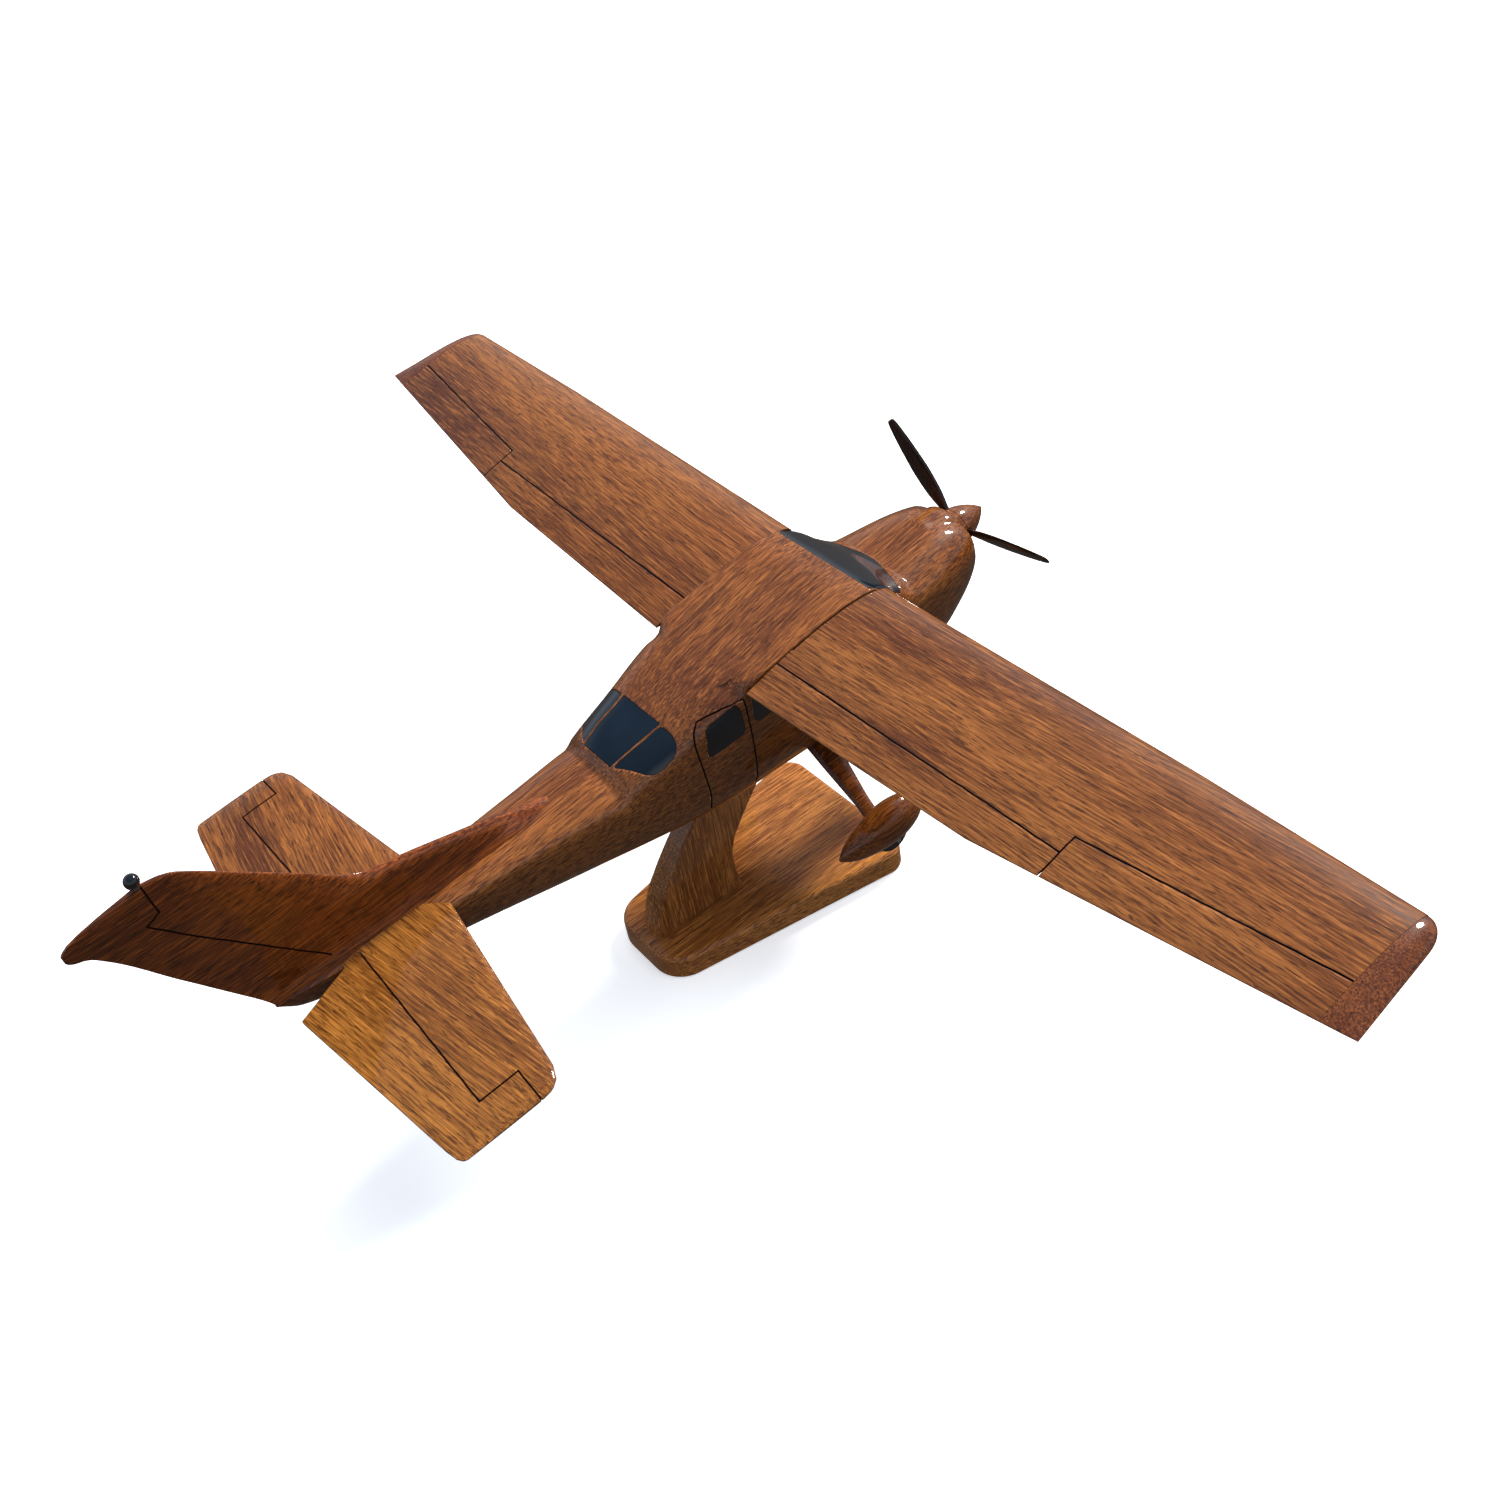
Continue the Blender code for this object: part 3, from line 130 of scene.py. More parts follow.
# Propeller
THRUST_Z = -17.8
SPINNER_BASE_Y = -27.7
SPINNER_LENGTH = 12
SPINNER_RADIUS = 5.8
SPINNER_POWER = 1.9
SPINNER_BLUNTNESS = 0.9
SPINNER_SEAM = 1.5
SEAM_HALF = 0.12
SEAM_DEPTH = 0.22
SPINNER_STEPS = 26
SPINNER_SIDES = 72
BLADE_PLANE_Y = -29.3
BLADE_RAKE = 0.9
BLADE_ROOT_RADIUS = 3.4
BLADE_TIP_RADIUS = 36.2
BLADE_PHASE_DEG = 38.7
BLADE_COUNT = 3
BLADE_SIDES = 28
BLADE_STATIONS = (BLADE_ROOT_RADIUS, 8.5, 33, 35.4, 36, BLADE_TIP_RADIUS)
BLADE_HALF_CHORD = (
    (3.4, 1), (6.2, 1.25), (8.5, 1.85), (13, 2.65), (19, 2.95), (26, 2.6), (33, 1.9), (35.4, 1.45),
    (36, 1.15), (36.2, 0.7),
)
BLADE_HALF_THICKNESS = ((3.4, 0.95), (8.5, 0.8), (19, 0.6), (33, 0.42), (36, 0.25), (36.2, 0.1))
BLADE_TWIST_DEG = ((3.4, 30), (6.2, 26), (13, 20.5), (26, 19), (36.2, 18))
SOCKET_RADIUS = 1.15
SOCKET_ENDS = (3.2, 9)
PIN_BORE_RADIUS = 1

# Wing
ROOT_X = 20
SPAN_HALF = 190
TIP_CAP_X = 182
TIP_LEADING_X = 186.6
TIP_CORNER = 7
TIP_EDGE_SQUASH = 0.2
WING_LE_Y = 12.9
WING_TE_ROOT = (ROOT_X, 62.6)
WING_TE_KINK = (97, 60.1)
WING_TE_TIP = (190, 47)
WING_LE_TAPER_X = 125
WING_LE_TIP_Y = 14.2
DIHEDRAL_SLOPE = 0.027
WING_Z = 0.5
WING_THICKNESS_ROOT = 0.125
WING_THICKNESS_TIP = 0.105
WING_CAMBER = 0.026
WING_CHORD_STEPS = 44
TRAILING_ROUND = 0.006
TRAILING_BLUNTNESS = 0.35
FLAP_LINE = ((19, 51.4), (60, 51), (116.5, 50.2))
AILERON_LINE = ((116.7, 59), (116.7, 50.2), (116.7, 45.2), (150, 41.2), (181.9, 37.3))
ROOT_REACH = {"port": 19.55, "starboard": 20}
ROOT_JOINT = ((20.15, 13.4), (20.15, 30), (20, 46))
TIP_JOINT = 0.06
TIP_SHARES = (0, 0.03, 0.15, 0.3, 0.45, 0.58, 0.7, 0.8, 0.87, 0.92, 0.96, 0.985, 1)

# Tail
STAB_Z = -9
STAB_LEADING = ((8, 153.4), (68.5, 161.8))
STAB_TRAILING = ((10.5, 199.3), (71.3, 190.9))
STAB_INNER_X = 2
STAB_HALF_SPAN = 71.7
STAB_ROOT_HALF = 1.9
STAB_TIP_HALF = 1.35
STAB_TIP_START = 0.92
STAB_TIP_CORNER = 5
STAB_TIP_TAIL_CORNER = 2
STAB_NOSE_SHARE = 0.16
STAB_EDGE_SQUASH = 0.2
STAB_CHORD_STEPS = 40
ELEVATOR_LINE = ((4, 178.5), (62.3, 179.3), (62.4, 168.4), (72.6, 168.6))
RUDDER_CLEARANCE = ((0, 183.6), (5.4, 183.6), (10.7, 200.5), (10.7, 206), (0, 206))
FIN_LEADING = (
    (-8.4, 114), (-6.6, 118), (-4.6, 123.6), (-2, 130), (2.9, 143.8), (7, 156), (9.4, 164.6),
    (12, 169.6), (22.7, 180.3), (34.2, 191.6), (44.3, 201.7), (46.4, 204.2), (47.8, 207.2), (48.6, 211),
)
FIN_TRAILING = (
    (-8.4, 201), (-6.6, 202.2), (17.4, 216.1), (36.7, 227.2), (39.4, 229.6), (40.6, 232.2), (42.2, 233.6),
    (43.8, 233.6), (45.6, 231.6), (46.9, 227), (47.9, 220.4), (48.6, 214.2),
)
FIN_HALF_THICKNESS = ((-6.6, 2.5), (10, 2), (40, 1.4), (46, 1.1), (48.6, 0.45))
FIN_TOP_Z = 48.5
FIN_FOOT_Z = -8.4
FIN_NOSE_LENGTH = 16
FIN_CHORD_STEPS = 44
FIN_FILLET_Z = -7.1
FIN_FILLET = 1.6
FIN_FILLET_REACH = 2.2
RUDDER_LINE = (
    (211.4, 49.2), (211.2, 39.7), (215.2, 38), (207, 26), (198.7, 15), (190, 3), (184.2, -4.4),
)
BEACON_RADIUS = 1.9
BEACON_CENTRE = Vector((0, 212.2, 50.7))

# Landing gear
MAIN_WHEEL = (42, 44)
NOSE_WHEEL_Y = -5
PANT_Z = -51.3
PANT_LENGTH = 30
PANT_HALF_HEIGHT = 6.6
PANT_HALF_WIDTH = 5
PANT_FULLEST = 0.4
PANT_SIDES = 56
PANT_STEPS = 48
PANT_END_SHARE = 0.985
PANT_END_SCALE = 0.045
WHEEL_RADIUS = 5.2
WHEEL_HALF_WIDTH = 1.8
WHEEL_DROP = 4.6
WHEEL_BORE = 0.8
WHEEL_SIDES = 64
WELL_CLEARANCE = 0.5
LEG_ROOT = Vector((13, 42.4, -35.6))
LEG_FOOT = Vector((40, 46.6, -48.6))
LEG_STATIONS = (
    # share of the length, half chord, half thickness
    (0, 4.6, 1.6), (0.4, 3.5, 1.4), (0.62, 2.8, 1.25), (0.85, 2.2, 1.1), (1, 2.1, 1),
)
NOSE_LEG_ROOT = Vector((0, NOSE_WHEEL_Y + 1, -37))
NOSE_LEG_FOOT = Vector((0, NOSE_WHEEL_Y + 0.5, PANT_Z + PANT_HALF_HEIGHT - 2))
NOSE_LEG_STATIONS = ((0, 2.8, 1.6), (1, 2.2, 1.3))
LEG_SIDES = 36
LEG_STEPS = 24
LEG_FULLNESS = 0.8

# Stand, in the world's own directions
BASE_FRONT_Y = -40
BASE_REAR_Y = 39.6
BASE_FRONT_HALF = 28
BASE_REAR_HALF = 14.2
BASE_FRONT_RADIUS = 6
BASE_REAR_RADIUS = 10
BASE_EDGE_ROUND = 1.5
BASE_FOOT_ROUND = 0.6
BASE_FLAT_RIM = 0.8
BASE_ROUND_STEPS = 6
SCREW_HOLES_Y = (12, 27)
SCREW_HOLE_DEPTH = 3.6
SCREW_HOLE_RADIUS = 3.4
PILLAR_HALF = 3.7
PILLAR_EDGE_ROUND = 0.9
PILLAR_CORNER_STEPS = 6
PILLAR_HEIGHT = 45.1
PILLAR_FOOT = 0.05
PILLAR_FRONT_EDGE = (
    (4.2, PILLAR_FOOT), (5.4, 6.8), (5.4, 12.6), (4, 18.2), (1.3, 22.6), (-2.5, 27.8), (-6.6, 32.8),
    (-9.8, 37.6), (-13.6, PILLAR_HEIGHT),
)
PILLAR_REAR_SIDE = (
    (35.7, PILLAR_FOOT), (33, 11.2), (28.6, 18.4), (22.7, 26.2), (16.9, 32.7), (12.6, 37.9),
    (6.2, PILLAR_HEIGHT),
)
PEG_Y = -4
PEG_BORE_RADIUS = 2.25
PEG_END_ROOM = 0.3
PEG_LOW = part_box("stand_peg")[0].z / MM - PEG_END_ROOM
PEG_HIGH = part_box("stand_peg")[1].z / MM + PEG_END_ROOM

# Engraved lines
GROOVE_WIDTH = 0.5
GROOVE_DEPTH = 0.5
GROOVE_WOBBLE = 0.05
GROOVE_STEP = 2.5
GROOVE_LID = 0.8
GROOVE_LID_SHARE = 1.15
GROOVE_FLOOR_SHARE = 0.55
SURFACE_PROBE = 0.05


SIDES = ((1, "port"), (-1, "starboard"))
UP = (0.0, 0.0, 1.0)
DOWN = (0.0, 0.0, -1.0)


def lerp(a, b, t):
    return a + (b - a) * t


def share_of(x, start, end):
    """How far x is from start to end, kept within 0 and 1."""
    return min(1.0, max(0.0, (x - start) / (end - start)))


def on_line(line, x):
    """Value at x on the straight line through two (x, value) points."""
    (x0, start), (x1, end) = line
    return lerp(start, end, (x - x0) / (x1 - x0))


def turns(count):
    return [2.0 * math.pi * k / count for k in range(count)]


def track(table, x):
    """Smooth value through the knots of a table, without overshoot between them."""
    if x <= table[0][0]:
        return table[0][1]
    if x >= table[-1][0]:
        return table[-1][1]
    steps = [b[0] - a[0] for a, b in zip(table, table[1:])]
    slopes = [(b[1] - a[1]) / (b[0] - a[0]) for a, b in zip(table, table[1:])]

    def tangent(i):
        if i == 0:
            return slopes[0]
        if i == len(table) - 1:
            return slopes[-1]
        before, after = slopes[i - 1], slopes[i]
        if before * after <= 0.0:
            return 0.0
        w1 = 2.0 * steps[i] + steps[i - 1]
        w2 = steps[i] + 2.0 * steps[i - 1]
        return (w1 + w2) / (w1 / before + w2 / after)

    k = max(i for i in range(len(table) - 1) if table[i][0] <= x)
    h = steps[k]
    t = (x - table[k][0]) / h
    rise = t * t * (3.0 - 2.0 * t)
    lead = t * (1.0 - t) * (1.0 - t) * h * tangent(k)
    trail = t * t * (t - 1.0) * h * tangent(k + 1)
    return lerp(table[k][1], table[k + 1][1], rise) + lead + trail


def spread(knots, step):
    """Values from the first knot to the last that pass through every knot, about a step apart."""
    values = [knots[0]]
    for a, b in zip(knots, knots[1:]):
        count = max(1, round((b - a) / step))
        values += [lerp(a, b, k / count) for k in range(1, count + 1)]
    return values


def smooth_path(points, steps):
    """Catmull-Rom curve through points, with steps pieces between each two."""
    points = [Vector(p) for p in points]
    path = []
    for i in range(len(points) - 1):
        p0, p1 = points[max(i - 1, 0)], points[i]
        p2, p3 = points[i + 1], points[min(i + 2, len(points) - 1)]
        for k in range(steps):
            t = k / steps
            path.append(
                0.5 * (2.0 * p1 + (p2 - p0) * t + (2.0 * p0 - 5.0 * p1 + 4.0 * p2 - p3) * t * t
                       + (3.0 * p1 - p0 - 3.0 * p2 + p3) * t**3)
            )
    return path + [points[-1]]


# --- materials
class Shader:
    """Small helper around one material's node tree."""

    def __init__(self, name):
        self.material = bpy.data.materials.new(name)
        self.material.use_nodes = True
        self.tree = self.material.node_tree
        self.principled = self.tree.nodes["Principled BSDF"]
        self.coordinates = self.tree.nodes.new("ShaderNodeTexCoord").outputs["Object"]

    def put(self, node, socket, value):
        entry = node.inputs[socket]
        if hasattr(value, "is_linked"):
            self.tree.links.new(value, entry)
        else:
            entry.default_value = (*value, 1.0) if entry.type == "RGBA" else value

    def filled(self, node, output, sockets):
        """Output of a node whose sockets have been given their values or links."""
        for socket, value in sockets.items():
            self.put(node, socket, value)
        return node.outputs[output]

    def mapped(self, rotation, shift):
        node = self.tree.nodes.new("ShaderNodeMapping")
        return self.filled(
            node, "Vector", {"Vector": self.coordinates, "Rotation": rotation, "Location": shift}
        )

    def vectors(self, operation, *values):
        node = self.tree.nodes.new("ShaderNodeVectorMath")
        node.operation = operation
        return self.filled(node, "Vector", dict(enumerate(values)))

    def noise(self, vector, scale, detail=3.0, roughness=0.55, output="Fac"):
        node = self.tree.nodes.new("ShaderNodeTexNoise")
        place = self.vectors("MULTIPLY", vector, scale)
        return self.filled(
            node, output, {"Vector": place, "Scale": 1.0, "Detail": detail, "Roughness": roughness}
        )

    def bent(self, vector, scale, amount):
        """The coordinates pushed about by a slow noise."""
        drift = self.vectors("SUBTRACT", self.noise(vector, scale, 2.0, 0.5, "Color"), (0.5, 0.5, 0.5))
        return self.vectors("MULTIPLY_ADD", drift, amount, vector)

    def span(self, value, low, high, to_low=0.0, to_high=1.0):
        node = self.tree.nodes.new("ShaderNodeMapRange")
        node.interpolation_type = "SMOOTHSTEP"
        limits = {"From Min": low, "From Max": high, "To Min": to_low, "To Max": to_high}
        return self.filled(node, "Result", {"Value": value, **limits})

    def mix(self, factor, first, second):
        node = self.tree.nodes.new("ShaderNodeMix")
        node.data_type = "RGBA"
        return self.filled(node, 2, {0: factor, 6: first, 7: second})

    def bump(self, height, strength, distance):
        node = self.tree.nodes.new("ShaderNodeBump")
        return self.filled(node, "Normal", {"Height": height, "Strength": strength, "Distance": distance})

    def set(self, **values):
        for socket, value in values.items():
            self.put(self.principled, socket.replace("_", " "), value)


ALONG_X = (0.0, 0.0, 0.0)
ALONG_Y = (math.radians(NOSE_UP_DEG), 0.0, math.pi / 2.0)
ALONG_Z = (0.0, math.pi / 2.0, 0.0)
ALONG_BASE = (0.0, 0.0, math.pi / 2.0)


def wood(name, tones, grain, seed, streaks=0.6, slant=0.0, lacquer=0.03, bands=1.0):
    """Lacquered open-pored wood: bands, dark streaks, fibres and pores, all stretched along the grain."""
    shader = Shader(name)
    dark, mid, light = tones
    rotation = (grain[0], grain[1], grain[2] + math.radians(slant))
    straight = shader.mapped(rotation, (0.31 * seed, 0.17 * seed, 0.23 * seed))
    along = shader.bent(straight, (8.0, 20.0, 20.0), (0.010, 0.0060, 0.0060))
    band = shader.noise(along, (5.0 * bands, 75.0 * bands, 75.0 * bands), 3.0, 0.55)
    streak = shader.noise(along, (4.0, 150.0, 150.0), 3.0, 0.6)
    patch = shader.noise(along, (11.0, 26.0, 26.0), 2.0)
    ribbon = shader.noise(along, (16.0, 460.0, 460.0), 3.0)
    fibre = shader.noise(along, (75.0, 2100.0, 2100.0), 3.0, 0.65)
    pore = shader.noise(along, (210.0, 2500.0, 2500.0), 2.0, 0.6)
    colour = shader.mix(shader.span(band, 0.36, 0.64), dark, mid)
    colour = shader.mix(shader.span(patch, 0.40, 0.70, 0.0, 0.75), colour, light)
    dark_streak = tuple(0.32 * c for c in dark)
    colour = shader.mix(shader.span(streak, 0.60, 0.74, 0.0, streaks), colour, dark_streak)
    colour = shader.mix(shader.span(ribbon, 0.40, 0.70, 0.0, 0.25), colour, light)
    colour = shader.mix(shader.span(ribbon, 0.50, 0.30, 0.0, 0.20), colour, dark)
    colour = shader.mix(shader.span(fibre, 0.54, 0.36, 0.0, 0.75), colour, tuple(0.55 * c for c in dark))
    colour = shader.mix(shader.span(fibre, 0.53, 0.68, 0.0, 0.60), colour, tuple(1.45 * c for c in light))
    colour = shader.mix(shader.span(pore, 0.55, 0.66, 0.0, 0.75), colour, dark_streak)
    shader.put(shader.principled, "Base Color", colour)
    shader.put(shader.principled, "Roughness", shader.span(fibre, 0.3, 0.7, 0.34, 0.48))
    shader.set(Specular_IOR_Level=0.10, Coat_Weight=1.0, Coat_Roughness=lacquer, Coat_IOR=1.46)
    relief = shader.bump(pore, 0.12, 0.00008)
    shader.put(shader.principled, "Normal", relief)
    brushed = shader.noise(straight, (150.0, 190.0, 190.0), 2.0)
    shader.put(shader.principled, "Coat Normal", shader.bump(brushed, 0.10, 0.0004))
    return shader.material


def grained(
    name, scale, dark, light, detail=3.0, limits=(0.3, 0.7), roughness=None, relief=None, **constants
):
    """Plain material whose colour, and roughness and relief where given, follow one noise."""
    shader = Shader(name)
    grain = shader.noise(shader.coordinates, scale, detail)
    shader.put(shader.principled, "Base Color", shader.mix(shader.span(grain, *limits), dark, light))
    if roughness:
        shader.put(shader.principled, "Roughness", shader.span(grain, 0.3, 0.7, *roughness))
    if relief:
        shader.put(shader.principled, "Normal", shader.bump(grain, *relief))
    shader.set(**constants)
    return shader.material


def inlaid_gloss(name, deep, haze, seed):
    """Blue-black glossy inlay under the same lacquer, with faint dust specks."""
    shader = Shader(name)
    cloud = shader.noise(shader.mapped(ALONG_X, (seed, 0.0, 0.0)), (60.0, 60.0, 60.0), 3.0)
    speck = shader.noise(shader.coordinates, (1700.0, 1700.0, 1700.0), 1.0)
    colour = shader.mix(shader.span(cloud, 0.35, 0.7), deep, haze)
    colour = shader.mix(shader.span(speck, 0.80, 0.86, 0.0, 0.5), colour, (0.10, 0.10, 0.10))
    shader.put(shader.principled, "Base Color", colour)
    shader.put(shader.principled, "Roughness", shader.span(cloud, 0.3, 0.7, 0.10, 0.18))
    shader.set(Specular_IOR_Level=0.3, Coat_Weight=1.0, Coat_Roughness=0.02, Coat_IOR=1.5)
    shader.put(shader.principled, "Coat Normal", shader.bump(cloud, 0.10, 0.0006))
    return shader.material


# Near-black painted shade for every face a cutter makes: engraved lines, window pockets and seams, bores,
# sockets and wheel wells
RECESS_SHADE = grained(
    "recess_painted_shade", (500.0, 500.0, 500.0), (0.010, 0.003, 0.003), (0.030, 0.009, 0.007), 2.0, (0.35, 0.65),
    Roughness=0.55, Specular_IOR_Level=0.3,
)
WING_TONES = ((0.115, 0.031, 0.007), (0.230, 0.070, 0.014), (0.335, 0.118, 0.026))
PORT_TAIL_TONES = ((0.125, 0.034, 0.007), (0.26, 0.080, 0.014), (0.38, 0.135, 0.026))
STARBOARD_TAIL_TONES = ((0.14, 0.041, 0.008), (0.30, 0.102, 0.016), (0.42, 0.160, 0.029))
TIP_TONES = ((0.080, 0.019, 0.006), (0.160, 0.042, 0.011), (0.240, 0.072, 0.018))
HULL_TONES = ((0.115, 0.030, 0.008), (0.235, 0.070, 0.015), (0.34, 0.115, 0.026))
FIN_TONES = ((0.090, 0.018, 0.003), (0.215, 0.046, 0.006), (0.350, 0.088, 0.010))
GEAR_TONES = ((0.095, 0.021, 0.004), (0.205, 0.050, 0.009), (0.330, 0.092, 0.014))
SPINNER_TONES = ((0.12, 0.032, 0.010), (0.22, 0.070, 0.020), (0.32, 0.115, 0.036))
PROPELLER_TONES = ((0.010, 0.003, 0.002), (0.026, 0.008, 0.005), (0.050, 0.016, 0.009))
# Stand woods: lighter than the airframe's wood, partly their own paler tone and partly painted light that
# makes up for the shade the wings and fuselage cast on the stand
BASE_TONES_WITH_PAINTED_LIGHT = ((0.36, 0.106, 0.021), (0.64, 0.218, 0.045), (0.78, 0.305, 0.069))
PILLAR_TONES_WITH_PAINTED_LIGHT = ((0.35, 0.112, 0.026), (0.62, 0.224, 0.052), (0.78, 0.315, 0.078))
WINGS = {
    "port": wood("wing_wood_port", WING_TONES, ALONG_X, 3.0, slant=3.0),
    "starboard": wood("wing_wood_starboard", WING_TONES, ALONG_X, 8.0, slant=-2.0),
}
TIPS = wood("wing_tip_wood", TIP_TONES, ALONG_Z, 5.0, 0.3, bands=2.2)
HULL = wood("fuselage_wood", HULL_TONES, ALONG_Y, 2.0, 0.7, slant=-4.0)
TAIL = {
    "port": wood("tail_wood_port", PORT_TAIL_TONES, ALONG_X, 11.0, slant=10.0),
    "starboard": wood("tail_wood_starboard", STARBOARD_TAIL_TONES, ALONG_X, 13.0, slant=-10.0),
}
FIN_WOOD = wood("fin_wood", FIN_TONES, ALONG_Y, 17.0, 0.8)
GEAR = wood("gear_wood", GEAR_TONES, ALONG_Y, 19.0, 0.6)
SPINNER_WOOD = wood("spinner_wood", SPINNER_TONES, ALONG_Y, 23.0, 0.3)
PROPELLER = wood("propeller_wood", PROPELLER_TONES, ALONG_Z, 29.0, 0.4)
BASE = wood("stand_base_wood", BASE_TONES_WITH_PAINTED_LIGHT, ALONG_BASE, 31.0, 0.35, lacquer=0.14)
PILLAR = wood("stand_pillar_wood", PILLAR_TONES_WITH_PAINTED_LIGHT, ALONG_Z, 37.0, 0.4)
GLAZING = inlaid_gloss("inlaid_glazing", (0.0016, 0.0045, 0.0085), (0.0035, 0.0085, 0.0150), 1.0)
BEAD = inlaid_gloss("beacon_gloss", (0.004, 0.004, 0.005), (0.008, 0.008, 0.009), 2.0)
BLACK_WHEEL = grained(
    "black_wheel", (2200.0, 2200.0, 2200.0), (0.012, 0.011, 0.011), (0.030, 0.028, 0.026),
    roughness=(0.38, 0.52), relief=(0.25, 0.00006),
)
STEEL = grained(
    "bright_steel_pin", (900.0, 5200.0, 5200.0), (0.42, 0.42, 0.43), (0.62, 0.62, 0.62),
    roughness=(0.25, 0.42), Metallic=1.0,
)
DOWEL = grained(
    "bare_dowel_wood", (2400.0, 2400.0, 260.0), (0.46, 0.29, 0.15), (0.66, 0.48, 0.29),
    roughness=(0.55, 0.72), relief=(0.3, 0.0001),
)


# --- building
def add_object(name, data):
    obj = bpy.data.objects.new(name, data)
    bpy.context.scene.collection.objects.link(obj)
    return obj


def make_mesh(name, points, faces, material, matrix=ATTITUDE, crease_deg=CREASE_DEG):
    """Object with its faces turned outwards, from points in the frame that matrix places."""
    mesh = bpy.data.meshes.new(name)
    shape = bmesh.new()
    vertices = [shape.verts.new(matrix @ (Vector(p) * MM)) for p in points]
    for face in faces:
        shape.faces.new([vertices[i] for i in face])
    bmesh.ops.recalc_face_normals(shape, faces=shape.faces)
    shape.to_mesh(mesh)
    shape.free()
    mesh.materials.append(material)
    obj = add_object(name, mesh)
    shade(obj, crease_deg)
    return obj


def shade(obj, crease_deg):
    obj.data.shade_smooth()
    obj.data.set_sharp_from_angle(angle=math.radians(crease_deg))


def loft(name, rings, material, **options):
    """Solid skin through rings that have the same number of points each."""
    count = len(rings[0])
    points = [p for ring in rings for p in ring]
    faces = [tuple(range(count))]
    for r in range(len(rings) - 1):
        for k in range(count):
            a, b = r * count + k, r * count + (k + 1) % count
            faces.append((a, b, b + count, a + count))
    faces.append(tuple((len(rings) - 1) * count + k for k in range(count)))
    return make_mesh(name, points, faces, material, **options)


def sheet_solid(name, below, above, material, **options):
    """Closed plate between two equal grids of points."""
    rows, columns = len(below), len(below[0])
    points = [p for grid in (below, above) for row in grid for p in row]
    top = rows * columns

    def at(r, c):
        return r * columns + c

    faces = []
    for r in range(rows - 1):
        for c in range(columns - 1):
            quad = (at(r, c), at(r, c + 1), at(r + 1, c + 1), at(r + 1, c))
            faces.append(quad)
            faces.append(tuple(i + top for i in reversed(quad)))
    rim = [at(0, c) for c in range(columns)]
    rim += [at(r, columns - 1) for r in range(1, rows)]
    rim += [at(rows - 1, c) for c in range(columns - 2, -1, -1)]
    rim += [at(r, 0) for r in range(rows - 2, 0, -1)]
    for a, b in zip(rim, rim[1:] + rim[:1]):
        faces.append((a, b, b + top, a + top))
    return make_mesh(name, points, faces, material, **options)


def disc_solid(name, outline, surface, low, high, material, rings=7, **options):
    """Closed plate with a free outline on a surface, between two offsets from it."""
    centre = [sum(p[i] for p in outline) / len(outline) for i in (0, 1)]
    count = len(outline)
    points, faces = [], []
    for offset in (low, high):
        points.append(surface(*centre, offset))
        for r in range(1, rings + 1):
            for p in outline:
                a, b = (lerp(centre[i], p[i], r / rings) for i in (0, 1))
                points.append(surface(a, b, offset))
    side = 1 + rings * count

    def at(layer, r, k):
        return layer * side + 1 + (r - 1) * count + k % count

    for layer in (0, 1):
        for k in range(count):
            faces.append((layer * side, at(layer, 1, k), at(layer, 1, k + 1)))
            for r in range(1, rings):
                here, next_out = (at(layer, row, k) for row in (r, r + 1))
                faces.append((here, next_out, at(layer, r + 1, k + 1), at(layer, r, k + 1)))
    for k in range(count):
        faces.append((at(0, rings, k), at(0, rings, k + 1), at(1, rings, k + 1), at(1, rings, k)))
    return make_mesh(name, points, faces, material, **options)


def bar(name, start, end, radius, material, matrix=ATTITUDE, sides=32):
    """Round cutter between two points."""
    start, end = Vector(start), Vector(end)
    axis = (end - start).normalized()
    side = axis.orthogonal().normalized()
    up = axis.cross(side)
    rings = [
        [p + side * radius * math.cos(a) + up * radius * math.sin(a) for a in turns(sides)]
        for p in (start, end)
    ]
    return loft(name, rings, material, matrix=matrix)


def turned_points(profile, steps, centre, axis_y=False):
    """Rings about an axis from (radius, height) points."""
    rings = []
    for radius, height in profile:
        ring = []
        for a in turns(steps):
            c, s = radius * math.cos(a), radius * math.sin(a)
            offset = Vector((c, -height, s)) if axis_y else Vector((c, s, height))
            ring.append(Vector(centre) + offset)
        rings.append(ring)
    return rings


def groove(name, path, surface, outward, width=GROOVE_WIDTH, depth=GROOVE_DEPTH, wobble=GROOVE_WOBBLE):
    """Cutter for an engraved line: path is in a surface's two coordinates, with sharp corners mitred."""
    outward = Vector(outward)
    steps = []
    for a, b in zip(path, path[1:]):
        count = max(1, round(math.dist(a, b) / GROOVE_STEP))
        steps += [(lerp(a[0], b[0], k / count), lerp(a[1], b[1], k / count)) for k in range(count)]
    steps.append(path[-1])
    points = [surface(*p) for p in steps]
    ways = [(b - a).normalized() for a, b in zip(points, points[1:])]
    rings = []
    for i, (point, (a, b)) in enumerate(zip(points, steps)):
        one, two = surface(a + SURFACE_PROBE, b) - point, surface(a, b + SURFACE_PROBE) - point
        normal = one.cross(two).normalized()
        before, after = ways[max(i - 1, 0)].cross(normal), ways[min(i, len(ways) - 1)].cross(normal)
        side = (before + after).normalized()
        stretch = 1.0 / max(0.5, side.dot(before.normalized()))
        out = normal if normal.dot(outward) > 0.0 else -normal
        middle = point + side * (wobble * math.sin(1.7 * i + 0.6 * math.sin(0.9 * i)))
        half = side * width * 0.5 * stretch
        lid, floor = out * GROOVE_LID, out * depth
        lid_half, floor_half = half * GROOVE_LID_SHARE, half * GROOVE_FLOOR_SHARE
        rings.append((
            middle + lid_half + lid, middle - lid_half + lid, middle - half,
            middle - floor_half - floor, middle + floor_half - floor, middle + half,
        ))
    # the groove's walls and floor take the cutter's near-black painted shade
    return loft(name, rings, RECESS_SHADE)


